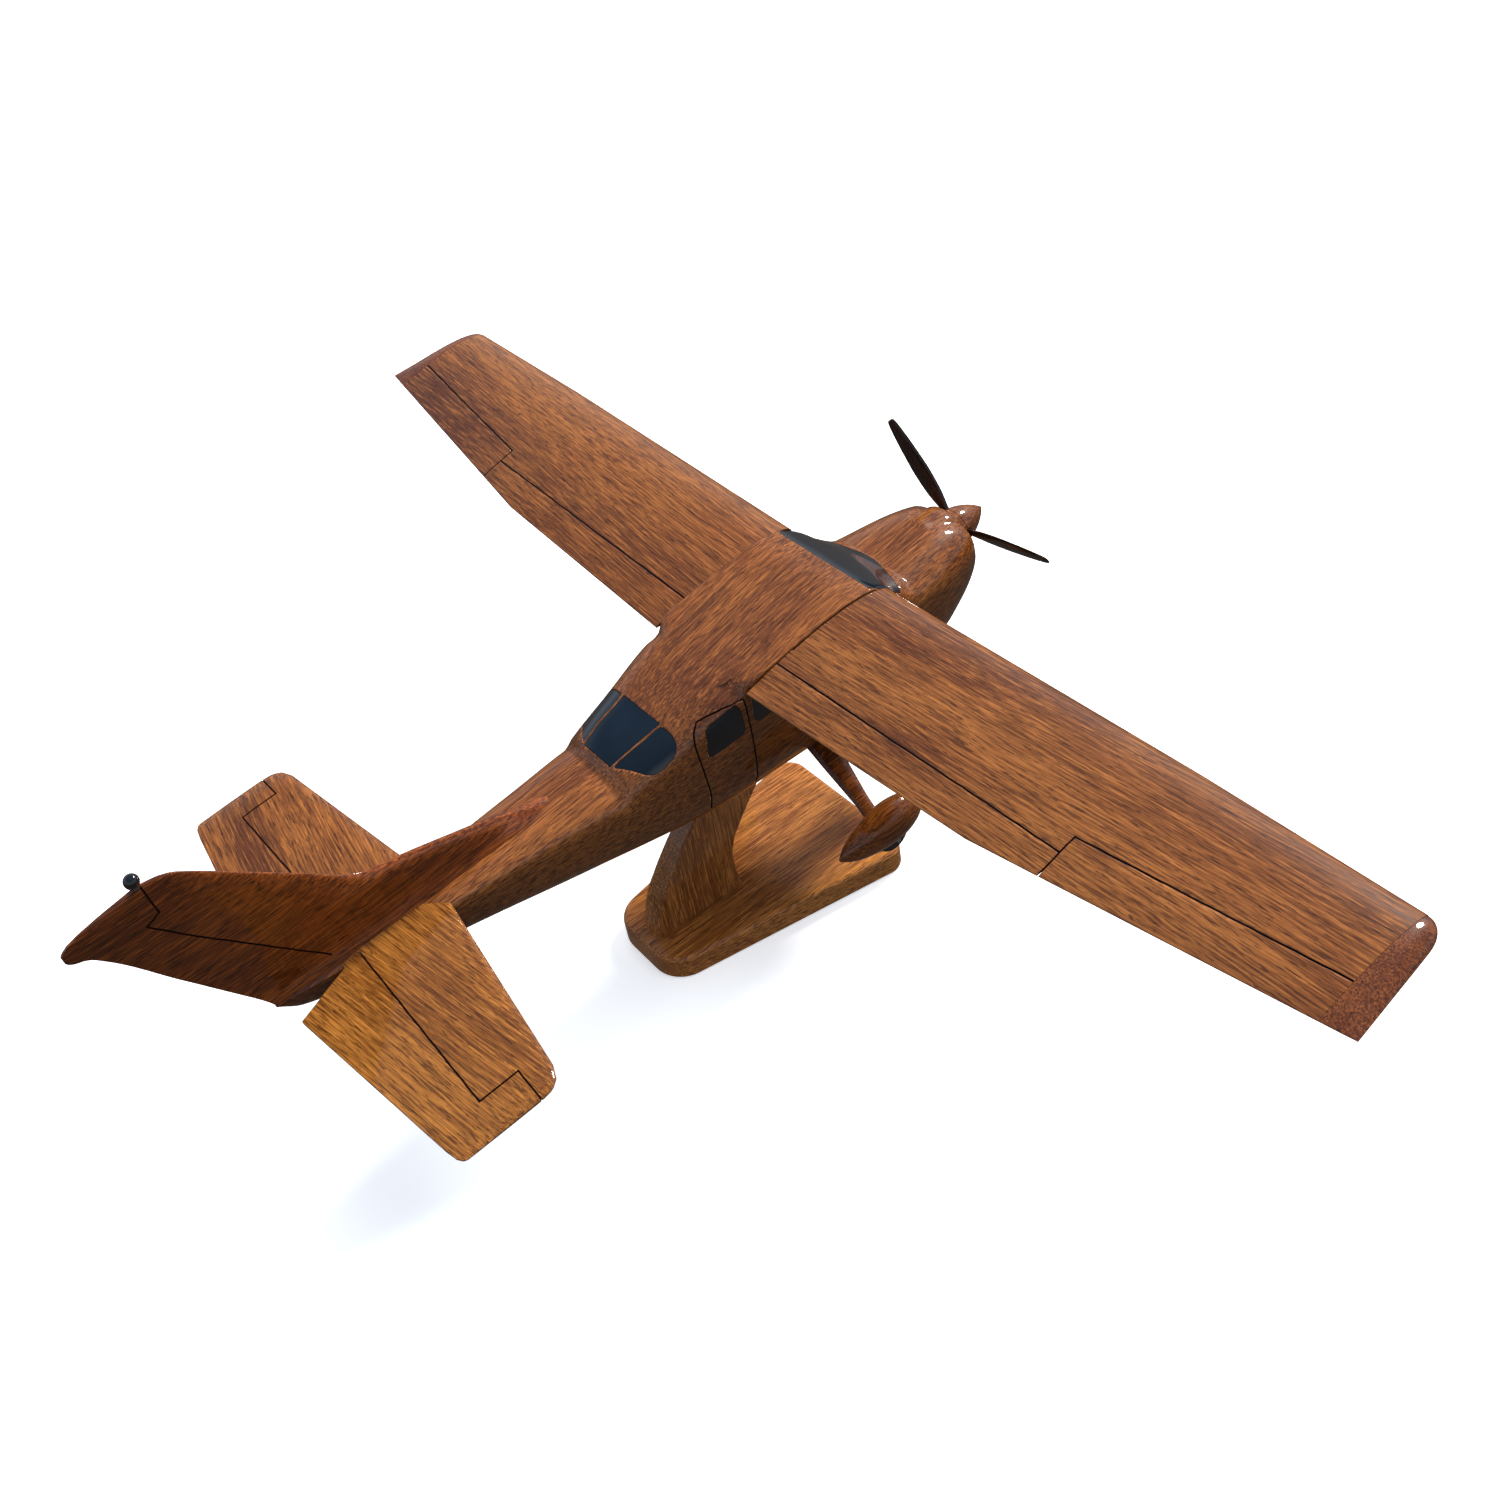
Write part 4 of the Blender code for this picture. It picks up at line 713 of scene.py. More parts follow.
def carve(obj, cutters):
    """Cuts cutters out of obj for good, keeping each cutter's own material on the faces it makes."""
    for cutter in cutters:
        modifier = obj.modifiers.new("carve", "BOOLEAN")
        modifier.operation = "DIFFERENCE"
        modifier.solver = "EXACT"
        # the faces a cutter makes keep its near-black painted shade
        modifier.material_mode = "TRANSFER"
        modifier.object = cutter
    bpy.context.view_layer.update()
    mesh = bpy.data.meshes.new_from_object(obj.evaluated_get(bpy.context.evaluated_depsgraph_get()))
    obj.modifiers.clear()
    obj.data = mesh
    mesh.name = obj.name
    for cutter in cutters:
        bpy.data.objects.remove(cutter)
    shade(obj, CREASE_DEG)
    even = obj.modifiers.new("even_shading", "WEIGHTED_NORMAL")
    even.keep_sharp = True
    even.weight = 80


def place(obj, body, slot, *nodes):
    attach(obj, body)
    if nodes:
        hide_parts(*nodes)
    return obj


# --- fuselage
def section(y):
    """Waist height, half width, heights above and below the waist and the two powers at a station."""
    waist = track(WAIST, y)
    return (
        waist, track(HALF_WIDTH, y), track(TOP, y) - waist, waist - track(BOTTOM, y),
        track(SHARPNESS_ABOVE, y), track(SHARPNESS_BELOW, y),
    )


def skin_point(y, angle, offset=0.0, known=None):
    """Point of the fuselage skin at station y, in the direction of angle from port (+X) towards +Z."""
    waist, half_width, above, below, sharp_above, sharp_below = known or section(y)
    upper = math.sin(angle) >= 0.0
    power = sharp_above if upper else sharp_below
    across = abs(math.cos(angle)) / half_width
    up = abs(math.sin(angle)) / (above if upper else below)
    largest = max(across, up)
    radius = ((across / largest) ** power + (up / largest) ** power) ** (-1.0 / power) / largest + offset
    return Vector((radius * math.cos(angle), y, waist + radius * math.sin(angle)))


def ring_angle(known, k, count):
    """Angle of the k-th of count ring points, closer together at the section's corners."""
    _, half_width, above, below, sharp_above, sharp_below = known
    turn = 2.0 * math.pi * k / count
    upper = math.sin(turn) >= 0.0
    bias = 2.0 / max(2.0, min(sharp_above if upper else sharp_below, MOST_CROWDING))
    c, s = math.cos(turn), math.sin(turn)
    across = math.copysign(abs(c) ** bias, c) * half_width
    up = math.copysign(abs(s) ** bias, s) * (above if upper else below)
    return math.atan2(up, across)


def with_fairing(point, y):
    """Pushes a cowl point out to the conical fairing that runs back from the spinner."""
    radius = FAIRING_FRONT_RADIUS + FAIRING_SPREAD * (y - COWL_FACE_Y)
    x, z = point.x, point.z - THRUST_Z
    distance = math.hypot(x, z)
    if distance >= radius or y > COWL_FACE_Y + FAIRING_LENGTH:
        return point
    return Vector((x * radius / distance, y, THRUST_Z + z * radius / distance))


def cheeked(point):
    """Cowl point with a shallow hollow on each side of the ridge that runs back from the spinner."""
    t = (RIDGE_APEX_Y - point.y) / (RIDGE_APEX_Y - COWL_FACE_Y)
    if t <= 0.0 or point.z < THRUST_Z:
        return point
    x, z = point.x, point.z - THRUST_Z
    angle = abs(math.atan2(x, z))
    centre, reach = math.radians(lerp(6.0, 50.0, t)), math.radians(lerp(4.0, 14.0, t))
    shrink = 1.0 - RIDGE_DEPTH * t**0.8 * math.exp(-(((angle - centre) / reach) ** 2)) / math.hypot(x, z)
    return Vector((x * shrink, point.y, THRUST_Z + z * shrink))


def dimpled(point):
    """Small pinched hollow where the carver met the wing's trailing edge with the roof."""
    away = math.hypot(point.y - DIMPLE_Y, point.z - DIMPLE_Z) / DIMPLE_RADIUS
    if abs(point.x) < DIMPLE_INNER_X or away > 3.0:
        return point
    depth = DIMPLE_DEPTH * math.exp(-away * away)
    return Vector((point.x - math.copysign(depth, point.x), point.y, point.z - 0.5 * depth))


def windshield_surface(u, v, offset):
    """u runs from starboard to port, v from the cowl to the roof edge."""
    side = 2.0 * u - 1.0
    base_y = 2.4 + 4.6 * abs(side) ** 2.2
    half_sweep = math.radians(lerp(58.0, 41.5, v))
    return skin_point(lerp(base_y, 17.6, v), math.pi / 2.0 - side * half_sweep, offset)


def rear_window_surface(u, v, offset):
    """Centre panel: u runs from starboard to port, v from the roof down to the tail cone."""
    angle = math.pi / 2.0 - (2.0 * u - 1.0) * math.radians(REAR_WINDOW_SWEEP_DEG)
    return skin_point(lerp(REAR_WINDOW_TOP_Y, REAR_WINDOW_LOW_Y, v), angle, offset)


def grid(surface, columns, rows, offset, border=0.0):
    table = []
    for r in range(rows + 1):
        v = lerp(-border, 1.0 + border, r / rows)
        across = [lerp(-border, 1.0 + border, c / columns) for c in range(columns + 1)]
        table.append([surface(u, v, offset) for u in across])
    return table


def panel_and_pocket(name, node, surface, columns, rows, border):
    below, above = (grid(surface, columns, rows, offset) for offset in (-PANEL_THICKNESS, -PANEL_SUNK))
    place(sheet_solid(name, below, above, GLAZING), "airframe", "glazing", node)
    below, above = (grid(surface, columns, rows, offset, border) for offset in (-POCKET_DEPTH, PROUD))
    # the pocket's walls and seam take the near-black painted shade
    return sheet_solid(name + "_pocket", below, above, RECESS_SHADE)


def rounded_outline(corners, steps=10):
    """Closed outline through corners (x, y, radius), each corner an arc."""
    outline = []
    count = len(corners)
    for i, (x, y, radius) in enumerate(corners):
        here = Vector((x, y))
        to_last = (Vector(corners[i - 1][:2]) - here).normalized()
        to_next = (Vector(corners[(i + 1) % count][:2]) - here).normalized()
        half = math.acos(max(-1.0, min(1.0, to_last.dot(to_next)))) / 2.0
        centre = here + (to_last + to_next).normalized() * radius / math.sin(half)
        first = here + to_last * radius / math.tan(half) - centre
        last = here + to_next * radius / math.tan(half) - centre
        turn = math.atan2(first.x * last.y - first.y * last.x, first.dot(last))
        for k in range(steps + 1):
            c, s = math.cos(turn * k / steps), math.sin(turn * k / steps)
            outline.append(centre + Vector((first.x * c - first.y * s, first.x * s + first.y * c)))
    return outline


def filled_in(outline, step):
    """Outline with points added along its straight stretches."""
    dense = []
    for a, b in zip(outline, outline[1:] + outline[:1]):
        count = max(1, round((b - a).length / step))
        dense += [a.lerp(b, k / count) for k in range(count)]
    return dense


def grown(outline, amount):
    centre = Vector((sum(p.x for p in outline), sum(p.y for p in outline))) / len(outline)
    return [p + (p - centre).normalized() * amount for p in outline]


def side_windows(name, node, corners):
    """Rounded window on each flank, from corners (station, angle in degrees, radius) on the port side."""
    flat = rounded_outline([(y, math.radians(angle) * WINDOW_SCALE, radius) for y, angle, radius in corners])
    flat = filled_in(flat, 1.2)
    pockets = []
    for side, label in SIDES:
        inner, outer = (
            [(p.x, p.y / WINDOW_SCALE if side > 0 else math.pi - p.y / WINDOW_SCALE) for p in outline]
            for outline in (flat, grown(flat, SEAM))
        )
        panel = disc_solid(f"{name}_{label}", inner, skin_point, -PANEL_THICKNESS, -PANEL_SUNK, GLAZING)
        place(panel, "airframe", "glazing", f"{node}_{label}")
        pockets.append(disc_solid(f"{name}_{label}_pocket", outer, skin_point, -POCKET_DEPTH, PROUD, RECESS_SHADE))
    return pockets


# Door outline: station and angle above the waist in degrees
DOOR_FRONT = (
    (66.6, -39.0), (65.8, -29.0), (65.2, -18.1), (64.6, -3.4), (64.1, 13.7), (63.8, 27.4), (63.4, 39.2),
)
DOOR_TOP = ((63.4, 39.2), (66.8, 40.9), (70.7, 42.9), (74.6, 44.6), (76.6, 45.2))
DOOR_REAR = (
    (76.6, 45.2), (78.4, 41.1), (79.5, 36.3), (80.4, 27.3), (80.5, 12.5), (80.5, -5.1), (80.5, -17.3),
    (80.9, -27.4), (81.4, -37.0),
)


def flank(side):
    """Skin of one flank over station and angle in degrees."""

    def surface(y, degrees):
        angle = math.radians(degrees)
        return skin_point(y, angle if side > 0 else math.pi - angle)

    return surface


def build_fuselage():
    rings = []
    for y in spread(HULL_STATIONS, HULL_STEP):
        known = section(y)
        ring = []
        for k in range(HULL_SIDES):
            point = skin_point(y, ring_angle(known, k, HULL_SIDES), 0.0, known)
            ring.append(dimpled(with_fairing(cheeked(point), y)))
        rings.append(ring)
    hull = loft("fuselage_hull", rings, HULL)
    cutters = [
        panel_and_pocket("windshield_panel", "windshield", windshield_surface, 56, 18, 0.006),
        panel_and_pocket("rear_panel_centre", "rear_window_centre", rear_window_surface, 20, 20, 0.008),
    ]
    for node, (name, corners) in SIDE_WINDOWS.items():
        cutters += side_windows(name, node, corners)
    line = [p for stretch in (DOOR_FRONT, DOOR_TOP, DOOR_REAR) for p in smooth_path(stretch, 3)[:-1]]
    line.append(DOOR_REAR[-1])
    for side, label in SIDES:
        cutters.append(groove(f"door_line_{label}", line, flank(side), (side, 0.0, 0.6)))
    cutters.append(bar("pin_bore", (0, -30, THRUST_Z), (0, -14, THRUST_Z), PIN_BORE_RADIUS, RECESS_SHADE))
    carve(hull, cutters)
    peg = bar("peg_bore", (0, PEG_Y, PEG_LOW), (0, PEG_Y, PEG_HIGH), PEG_BORE_RADIUS, RECESS_SHADE, matrix=LEVEL)
    carve(hull, [peg])
    place(hull, "airframe", "fuselage_wood", "fuselage")


build_fuselage()


# --- wings
def airfoil_heights(t, thickness):
    half = 5.0 * thickness * (
        0.2969 * math.sqrt(t) - 0.1260 * t - 0.3516 * t**2 + 0.2843 * t**3 - 0.1015 * t**4
    )
    half += 0.004 * t
    if t < 0.4:
        camber = WING_CAMBER / 0.16 * (0.8 * t - t * t)
    else:
        camber = WING_CAMBER / 0.36 * (0.2 + 0.8 * t - t * t)
    return camber + half, camber - half


def wing_leading(x):
    return lerp(WING_LE_Y, WING_LE_TIP_Y, max(0.0, (x - WING_LE_TAPER_X) / (SPAN_HALF - WING_LE_TAPER_X)))


def wing_trailing(x):
    return on_line((WING_TE_ROOT, WING_TE_KINK) if x < WING_TE_KINK[0] else (WING_TE_KINK, WING_TE_TIP), x)


def wing_plane(x):
    """Height of the chord line and relative thickness at span station x."""
    share = (x - ROOT_X) / (SPAN_HALF - ROOT_X)
    return WING_Z + DIHEDRAL_SLOPE * (x - ROOT_X), lerp(WING_THICKNESS_ROOT, WING_THICKNESS_TIP, share)


def edge_to_edge(count):
    """(sign, share of the chord) pairs from the trailing edge over the top to the front and back below."""
    shares = [(1.0 + math.cos(math.pi * k / count)) / 2.0 for k in range(count + 1)]
    return [(1.0, t) for t in shares] + [(-1.0, t) for t in shares[-2::-1]]


def airfoil_ring(x, leading, trailing, z, thickness, squash=1.0):
    """Ring round an airfoil with a soft trailing edge."""
    chord = trailing - leading
    ring = []
    for sign, t in edge_to_edge(WING_CHORD_STEPS):
        upper, lower = airfoil_heights(t, thickness)
        height = upper if sign > 0 else lower
        if t > 1.0 - TRAILING_ROUND:
            edge = math.sqrt(max(0.0, 1.0 - ((t - 1.0 + TRAILING_ROUND) / TRAILING_ROUND) ** 2))
            height = lerp((upper + lower) / 2.0, height, max(TRAILING_BLUNTNESS, edge))
        ring.append((x, leading + t * chord, z + height * chord * squash))
    return ring


def wing_face(side, face):
    """Upper (face 0) or lower (face 1) surface of a wing over span station and chordwise position."""

    def surface(x, y):
        z, thickness = wing_plane(x)
        leading, trailing = wing_leading(x), wing_trailing(x)
        t = share_of(y, leading, trailing)
        return Vector((side * x, y, z + airfoil_heights(t, thickness)[face] * (trailing - leading)))

    return surface


def tip_section(s, side):
    """Section of the tip cap, s = 0 at its joint and 1 at its slanted, rounded outer edge."""
    z, thickness = wing_plane(TIP_CAP_X)
    squash = max(TIP_EDGE_SQUASH, (1.0 - s**2.4) ** 0.5)
    leading = WING_LE_TIP_Y + TIP_CORNER * (1.0 - math.sqrt(1.0 - s**2.2))
    ring = []
    for x, y, height in airfoil_ring(TIP_CAP_X, leading, wing_trailing(TIP_CAP_X), 0.0, thickness, squash):
        t = (y - WING_LE_TIP_Y) / (WING_TE_TIP[1] - WING_LE_TIP_Y)
        outer = lerp(TIP_LEADING_X, SPAN_HALF, t)
        trailing_shift = (wing_trailing(SPAN_HALF) - wing_trailing(TIP_CAP_X)) * s * t
        x = lerp(TIP_CAP_X, outer, s)
        ring.append((side * x, y + trailing_shift, z + DIHEDRAL_SLOPE * (x - TIP_CAP_X) + height))
    return ring


def build_wing(side, label):
    knots = (ROOT_REACH[label], 21.0, WING_TE_KINK[0], WING_LE_TAPER_X, 181.0, TIP_CAP_X - TIP_JOINT)
    rings = []
    for x in spread(knots, 3.0):
        z, thickness = wing_plane(x)
        rings.append(airfoil_ring(side * x, wing_leading(x), wing_trailing(x), z, thickness))
    wing = loft(f"wing_panel_{label}", rings, WINGS[label])
    top, under = wing_face(side, 0), wing_face(side, 1)
    for line in (FLAP_LINE, AILERON_LINE):
        carve(wing, [groove("line_above", line, top, UP), groove("line_below", line, under, DOWN)])
    if label == "starboard":
        carve(wing, [groove("root_joint", ROOT_JOINT, top, UP, width=0.8, depth=1.1)])
    place(wing, "airframe", "wing_wood", f"wing_{label}")
    cap = loft(f"wing_cap_{label}", [tip_section(s, side) for s in TIP_SHARES], TIPS)
    place(cap, "airframe", "wing_tip_wood", f"wing_tip_{label}")


for wing in SIDES:
    build_wing(*wing)


# --- tail
def stab_edges(s):
    tip_round = max(0.0, (s - STAB_TIP_START) / (1.0 - STAB_TIP_START))
    x = lerp(STAB_INNER_X, STAB_HALF_SPAN, s)
    leading = on_line(STAB_LEADING, x) + STAB_TIP_CORNER * (1.0 - math.sqrt(1.0 - tip_round**2.2))
    trailing = on_line(STAB_TRAILING, x) - STAB_TIP_TAIL_CORNER * (1.0 - math.sqrt(1.0 - tip_round**3))
    squash = max(STAB_EDGE_SQUASH, math.sqrt(1.0 - tip_round * tip_round))
    return x, leading, trailing, lerp(STAB_ROOT_HALF, STAB_TIP_HALF, s) * squash


def stab_height(t, half):
    nose = math.sqrt(max(0.0, 1.0 - (1.0 - min(t / STAB_NOSE_SHARE, 1.0)) ** 2))
    tail = 1.0 - 0.62 * max(0.0, (t - 0.45) / 0.55) ** 1.3
    return half * nose * tail


def stab_surface(side, sign):
    def surface(x, y):
        s = (x - STAB_INNER_X) / (STAB_HALF_SPAN - STAB_INNER_X)
        _, leading, trailing, half = stab_edges(min(1.0, s))
        return Vector((side * x, y, STAB_Z + sign * stab_height(share_of(y, leading, trailing), half)))

    return surface


def build_stabilizer(side, label):
    rings = []
    for s in spread((0.0, STAB_TIP_START, 0.97, 0.99, 1.0), 0.035)[:-1] + [0.996, 1.0]:
        x, leading, trailing, half = stab_edges(s)
        rings.append([
            (side * x, lerp(leading, trailing, t), STAB_Z + sign * stab_height(t, half))
            for sign, t in edge_to_edge(STAB_CHORD_STEPS)
        ])
    stab = loft(f"tailplane_{label}", rings, TAIL[label])
    corner = [[(side * x, y, STAB_Z + z) for x, y in RUDDER_CLEARANCE] for z in (-4.0, 4.0)]
    notch = loft("rudder_room", corner, TAIL[label])
    lines = [groove("elevator_line", ELEVATOR_LINE, stab_surface(side, out[2]), out) for out in (UP, DOWN)]
    carve(stab, [notch, *lines])
    place(stab, "airframe", "tail_wood", f"stabilizer_{label}")


for half_tail in SIDES:
    build_stabilizer(*half_tail)


def fin_section(z):
    """Leading edge, chord and half thickness of the fin at a height."""
    leading, trailing = track(FIN_LEADING, z), track(FIN_TRAILING, z)
    return leading, trailing - leading, track(FIN_HALF_THICKNESS, z)


def fin_thickness(t, chord, half, z):
    length = min(FIN_NOSE_LENGTH, 0.45 * chord)
    nose = math.sqrt(max(0.0, 1.0 - (1.0 - min(t * chord, length) / length) ** 2))
    tail = 1.0 - 0.7 * max(0.0, (t - 0.5) / 0.5) ** 1.2
    fillet = FIN_FILLET * math.exp(-max(0.0, z - FIN_FILLET_Z) / FIN_FILLET_REACH) * nose
    return half * nose * tail + fillet


def fin_side(side):
    def surface(y, z):
        leading, chord, half = fin_section(z)
        t = share_of(y, leading, leading + chord)
        return Vector((side * fin_thickness(t, chord, half, z), y, z))

    return surface


def build_fin():
    count = FIN_CHORD_STEPS
    heights = spread((FIN_FOOT_Z, -6.6, -2.0, 9.4, 12.0, 37.0, 44.0, FIN_TOP_Z), 0.9)
    heights = heights[:-1] + [47.9, 48.2, 48.4, FIN_TOP_Z]
    rings = []
    for z in sorted(set(heights)):
        leading, chord, half = fin_section(z)
        ring = []
        for sign, order in ((1.0, range(count + 1)), (-1.0, range(count - 1, 0, -1))):
            for k in order:
                t = (1.0 - math.cos(math.pi * k / count)) / 2.0
                ring.append((sign * fin_thickness(t, chord, half, z), leading + t * chord, z))
        rings.append(ring)
    fin = loft("tail_fin", rings, FIN_WOOD)
    carve(fin, [groove("rudder_line", RUDDER_LINE, fin_side(side), (side, 0.0, 0.0)) for side in (1.0, -1.0)])
    place(fin, "airframe", "fin_wood", "fin")


build_fin()


def build_beacon():
    """Black bead on a short waisted stem."""
    profile = [(0.02, BEACON_RADIUS)]
    for k in range(1, 15):
        a = math.pi * k / 17.0
        profile.append((BEACON_RADIUS * math.sin(a), BEACON_RADIUS * math.cos(a)))
    profile += [(0.75, -BEACON_RADIUS * 0.98), (0.95, -BEACON_RADIUS - 0.25)]
    bead = loft("beacon_bead", turned_points(profile, 40, BEACON_CENTRE), BEAD)
    place(bead, "airframe", "beacon", "beacon")


build_beacon()


# --- propeller
def blade_direction(k):
    angle = math.radians(BLADE_PHASE_DEG - k * 360.0 / BLADE_COUNT)
    return Vector((math.sin(angle), 0.0, math.cos(angle)))


def build_blade(k):
    along = blade_direction(k)
    axis = Vector((0.0, 1.0, 0.0))
    across = axis.cross(along)
    rings = []
    for radius in spread(BLADE_STATIONS, 1.0):
        twist = math.radians(track(BLADE_TWIST_DEG, radius))
        chord_way = across * math.cos(twist) + axis * math.sin(twist)
        thick_way = axis * math.cos(twist) - across * math.sin(twist)
        forward = BLADE_RAKE * (radius - BLADE_ROOT_RADIUS) / (BLADE_TIP_RADIUS - BLADE_ROOT_RADIUS)
        centre = along * radius + Vector((0.0, BLADE_PLANE_Y - forward, THRUST_Z))
        ring = []
        for a in turns(BLADE_SIDES):
            wide = math.cos(a) * track(BLADE_HALF_CHORD, radius)
            thick = math.sin(a) * track(BLADE_HALF_THICKNESS, radius) * (1.0 - 0.35 * math.cos(a))
            ring.append(centre + chord_way * wide + thick_way * thick)
        rings.append(ring)
    blade = loft(f"blade_{k + 1}", rings, PROPELLER)
    place(blade, "propeller", "propeller_wood", f"propeller_blade_{k + 1}")


def build_spinner():
    profile = [(0.03, SPINNER_LENGTH)]
    heights = [SPINNER_LENGTH * (1.0 - (k / SPINNER_STEPS) ** 1.4) for k in range(1, SPINNER_STEPS)]
    seam = {SPINNER_SEAM + SEAM_HALF: 0.0, SPINNER_SEAM: SEAM_DEPTH, SPINNER_SEAM - SEAM_HALF: 0.0}
    heights = [h for h in heights if h > 0.1 and abs(h - SPINNER_SEAM) > 0.2] + list(seam)
    for height in sorted(heights, reverse=True):
        radius = SPINNER_RADIUS * (1.0 - (height / SPINNER_LENGTH) ** SPINNER_POWER) ** SPINNER_BLUNTNESS
        profile.append((radius - seam.get(height, 0.0), height))
    profile += [(SPINNER_RADIUS, 0.1), (SPINNER_RADIUS - 0.1, 0.0)]
    rings = turned_points(profile, SPINNER_SIDES, (0.0, SPINNER_BASE_Y, THRUST_Z), axis_y=True)
    cone = loft("spinner_cone", rings, SPINNER_WOOD)
    sockets = []
    plane = Vector((0.0, BLADE_PLANE_Y, THRUST_Z))
    for k in range(BLADE_COUNT):
        start, end = (plane + blade_direction(k) * reach for reach in SOCKET_ENDS)
        sockets.append(bar(f"socket_{k}", start, end, SOCKET_RADIUS, RECESS_SHADE, sides=24))
    room = bar("pin_room", (0, -26, THRUST_Z), (0, -29.6, THRUST_Z), PIN_BORE_RADIUS, RECESS_SHADE, sides=24)
    carve(cone, [*sockets, room])
    place(cone, "propeller", "fuselage_wood", "spinner")


build_spinner()
for blade_number in range(BLADE_COUNT):
    build_blade(blade_number)


# --- landing gear
def pant_radius(t):
    """Teardrop outline, 1 at its fullest: round nose at t = 0, pointed tail at t = 1."""
    if t < PANT_FULLEST:
        return math.sqrt(max(0.0, 1.0 - (1.0 - t / PANT_FULLEST) ** 2))
    u = (t - PANT_FULLEST) / (1.0 - PANT_FULLEST)
    return 1.0 - 0.72 * u**1.7 - 0.28 * u**6


def build_wheel(label, x, y):
    nose_y = y - PANT_FULLEST * PANT_LENGTH
    rings = []
    for k in range(PANT_STEPS + 1):
        t = PANT_END_SHARE * (1.0 - math.cos(math.pi * k / PANT_STEPS)) / 2.0
        scale = max(PANT_END_SCALE, pant_radius(t))
        wide, high = PANT_HALF_WIDTH * scale, PANT_HALF_HEIGHT * scale
        rings.append([
            (x + wide * math.cos(a), nose_y + t * PANT_LENGTH, PANT_Z + high * math.sin(a))
            for a in turns(PANT_SIDES)
        ])
    spat = loft(f"spat_{label}", rings, GEAR)
    wheel_z = PANT_Z - WHEEL_DROP
    reach = WHEEL_HALF_WIDTH + WELL_CLEARANCE
    well = bar(
        "well", (x - reach, y, wheel_z), (x + reach, y, wheel_z), WHEEL_RADIUS + WELL_CLEARANCE, RECESS_SHADE,
        sides=WHEEL_SIDES,
    )
    carve(spat, [well])
    place(spat, "airframe", "gear_wood", f"wheel_fairing_{label}")
    w, r = WHEEL_HALF_WIDTH, WHEEL_RADIUS
    half_profile = [(WHEEL_BORE, w), (1.6, w), (1.8, w - 0.25), (3.0, w - 0.25), (3.2, w)]
    half_profile += [(r - 0.8, w), (r - 0.35, w - 0.12), (r - 0.1, w - 0.45), (r, w - 0.9)]
    profile = half_profile + [(radius, -height) for radius, height in reversed(half_profile)]
    steps = WHEEL_SIDES
    points, faces = [], []
    for radius, height in profile:
        for a in turns(steps):
            points.append((x + height, y + radius * math.cos(a), wheel_z + radius * math.sin(a)))
    rows = len(profile)
    for p in range(rows):
        for k in range(steps):
            a, b = p * steps + k, p * steps + (k + 1) % steps
            c, d = (p + 1) % rows * steps + (k + 1) % steps, (p + 1) % rows * steps + k
            faces.append((a, b, c, d))
    wheel = make_mesh(f"tyre_{label}", points, faces, BLACK_WHEEL, crease_deg=50.0)
    place(wheel, f"{label}_wheel", "wheel", f"wheel_{label}")


def leg_ring(centre, half_chord, half_thickness, normal):
    ring = []
    for a in turns(LEG_SIDES):
        c, s = math.cos(a), math.sin(a)
        along = math.copysign(abs(c) ** LEG_FULLNESS, c) * half_chord
        ring.append(Vector(centre) + Vector((0.0, along, 0.0)) + normal * half_thickness * s)
    return ring


def build_leg(label, root, foot, stations):
    span = foot - root
    normal = Vector((-span.z, 0.0, span.x)).normalized()
    chord = [(s, c) for s, c, _ in stations]
    thickness = [(s, t) for s, _, t in stations]
    rings = []
    for k in range(LEG_STEPS + 1):
        s = k / LEG_STEPS
        rings.append(leg_ring(root.lerp(foot, s), track(chord, s), track(thickness, s), normal))
    leg = loft(f"leg_{label}", rings, GEAR)
    place(leg, "airframe", "gear_wood", f"gear_leg_{label}")


for gear_side, gear_label in SIDES:
    build_wheel(gear_label, gear_side * MAIN_WHEEL[0], MAIN_WHEEL[1])
    flip = Vector((gear_side, 1.0, 1.0))
    build_leg(gear_label, LEG_ROOT * flip, LEG_FOOT * flip, LEG_STATIONS)
build_wheel("nose", 0.0, NOSE_WHEEL_Y)
build_leg("nose", NOSE_LEG_ROOT, NOSE_LEG_FOOT, NOSE_LEG_STATIONS)


# --- stand
def inset(outline, amount):
    """Outline moved inwards by amount, for an outline that runs counter-clockwise."""
    moved = []
    count = len(outline)
    for i, here in enumerate(outline):
        before = (here - outline[i - 1]).normalized()
        after = (outline[(i + 1) % count] - here).normalized()
        way = Vector((-(before.y + after.y), before.x + after.x))
        if way.length < 1e-6:
            moved.append(here)
            continue
        way.normalize()
        stretch = 1.0 / max(0.6, way.dot(Vector((-after.y, after.x))))
        moved.append(here + way * amount * stretch)
    return moved


def edge_layers():
    """How far the base's outline is drawn in, and at which height, from its underside to its top."""
    low, high, steps = BASE_FOOT_ROUND, BASE_EDGE_ROUND, BASE_ROUND_STEPS
    layers = [(low + BASE_FLAT_RIM, 0.0), (low, 0.0)]
    for k in range(1, steps + 1):
        a = math.pi / 2.0 * k / steps
        layers.append((low * (1.0 - math.sin(a)), low * (1.0 - math.cos(a))))
    for k in range(steps):
        a = math.pi / 2.0 * k / steps
        layers.append((high * (1.0 - math.cos(a)), BASE_TOP - high * (1.0 - math.sin(a))))
    return layers + [(high, BASE_TOP), (high + BASE_FLAT_RIM, BASE_TOP)]


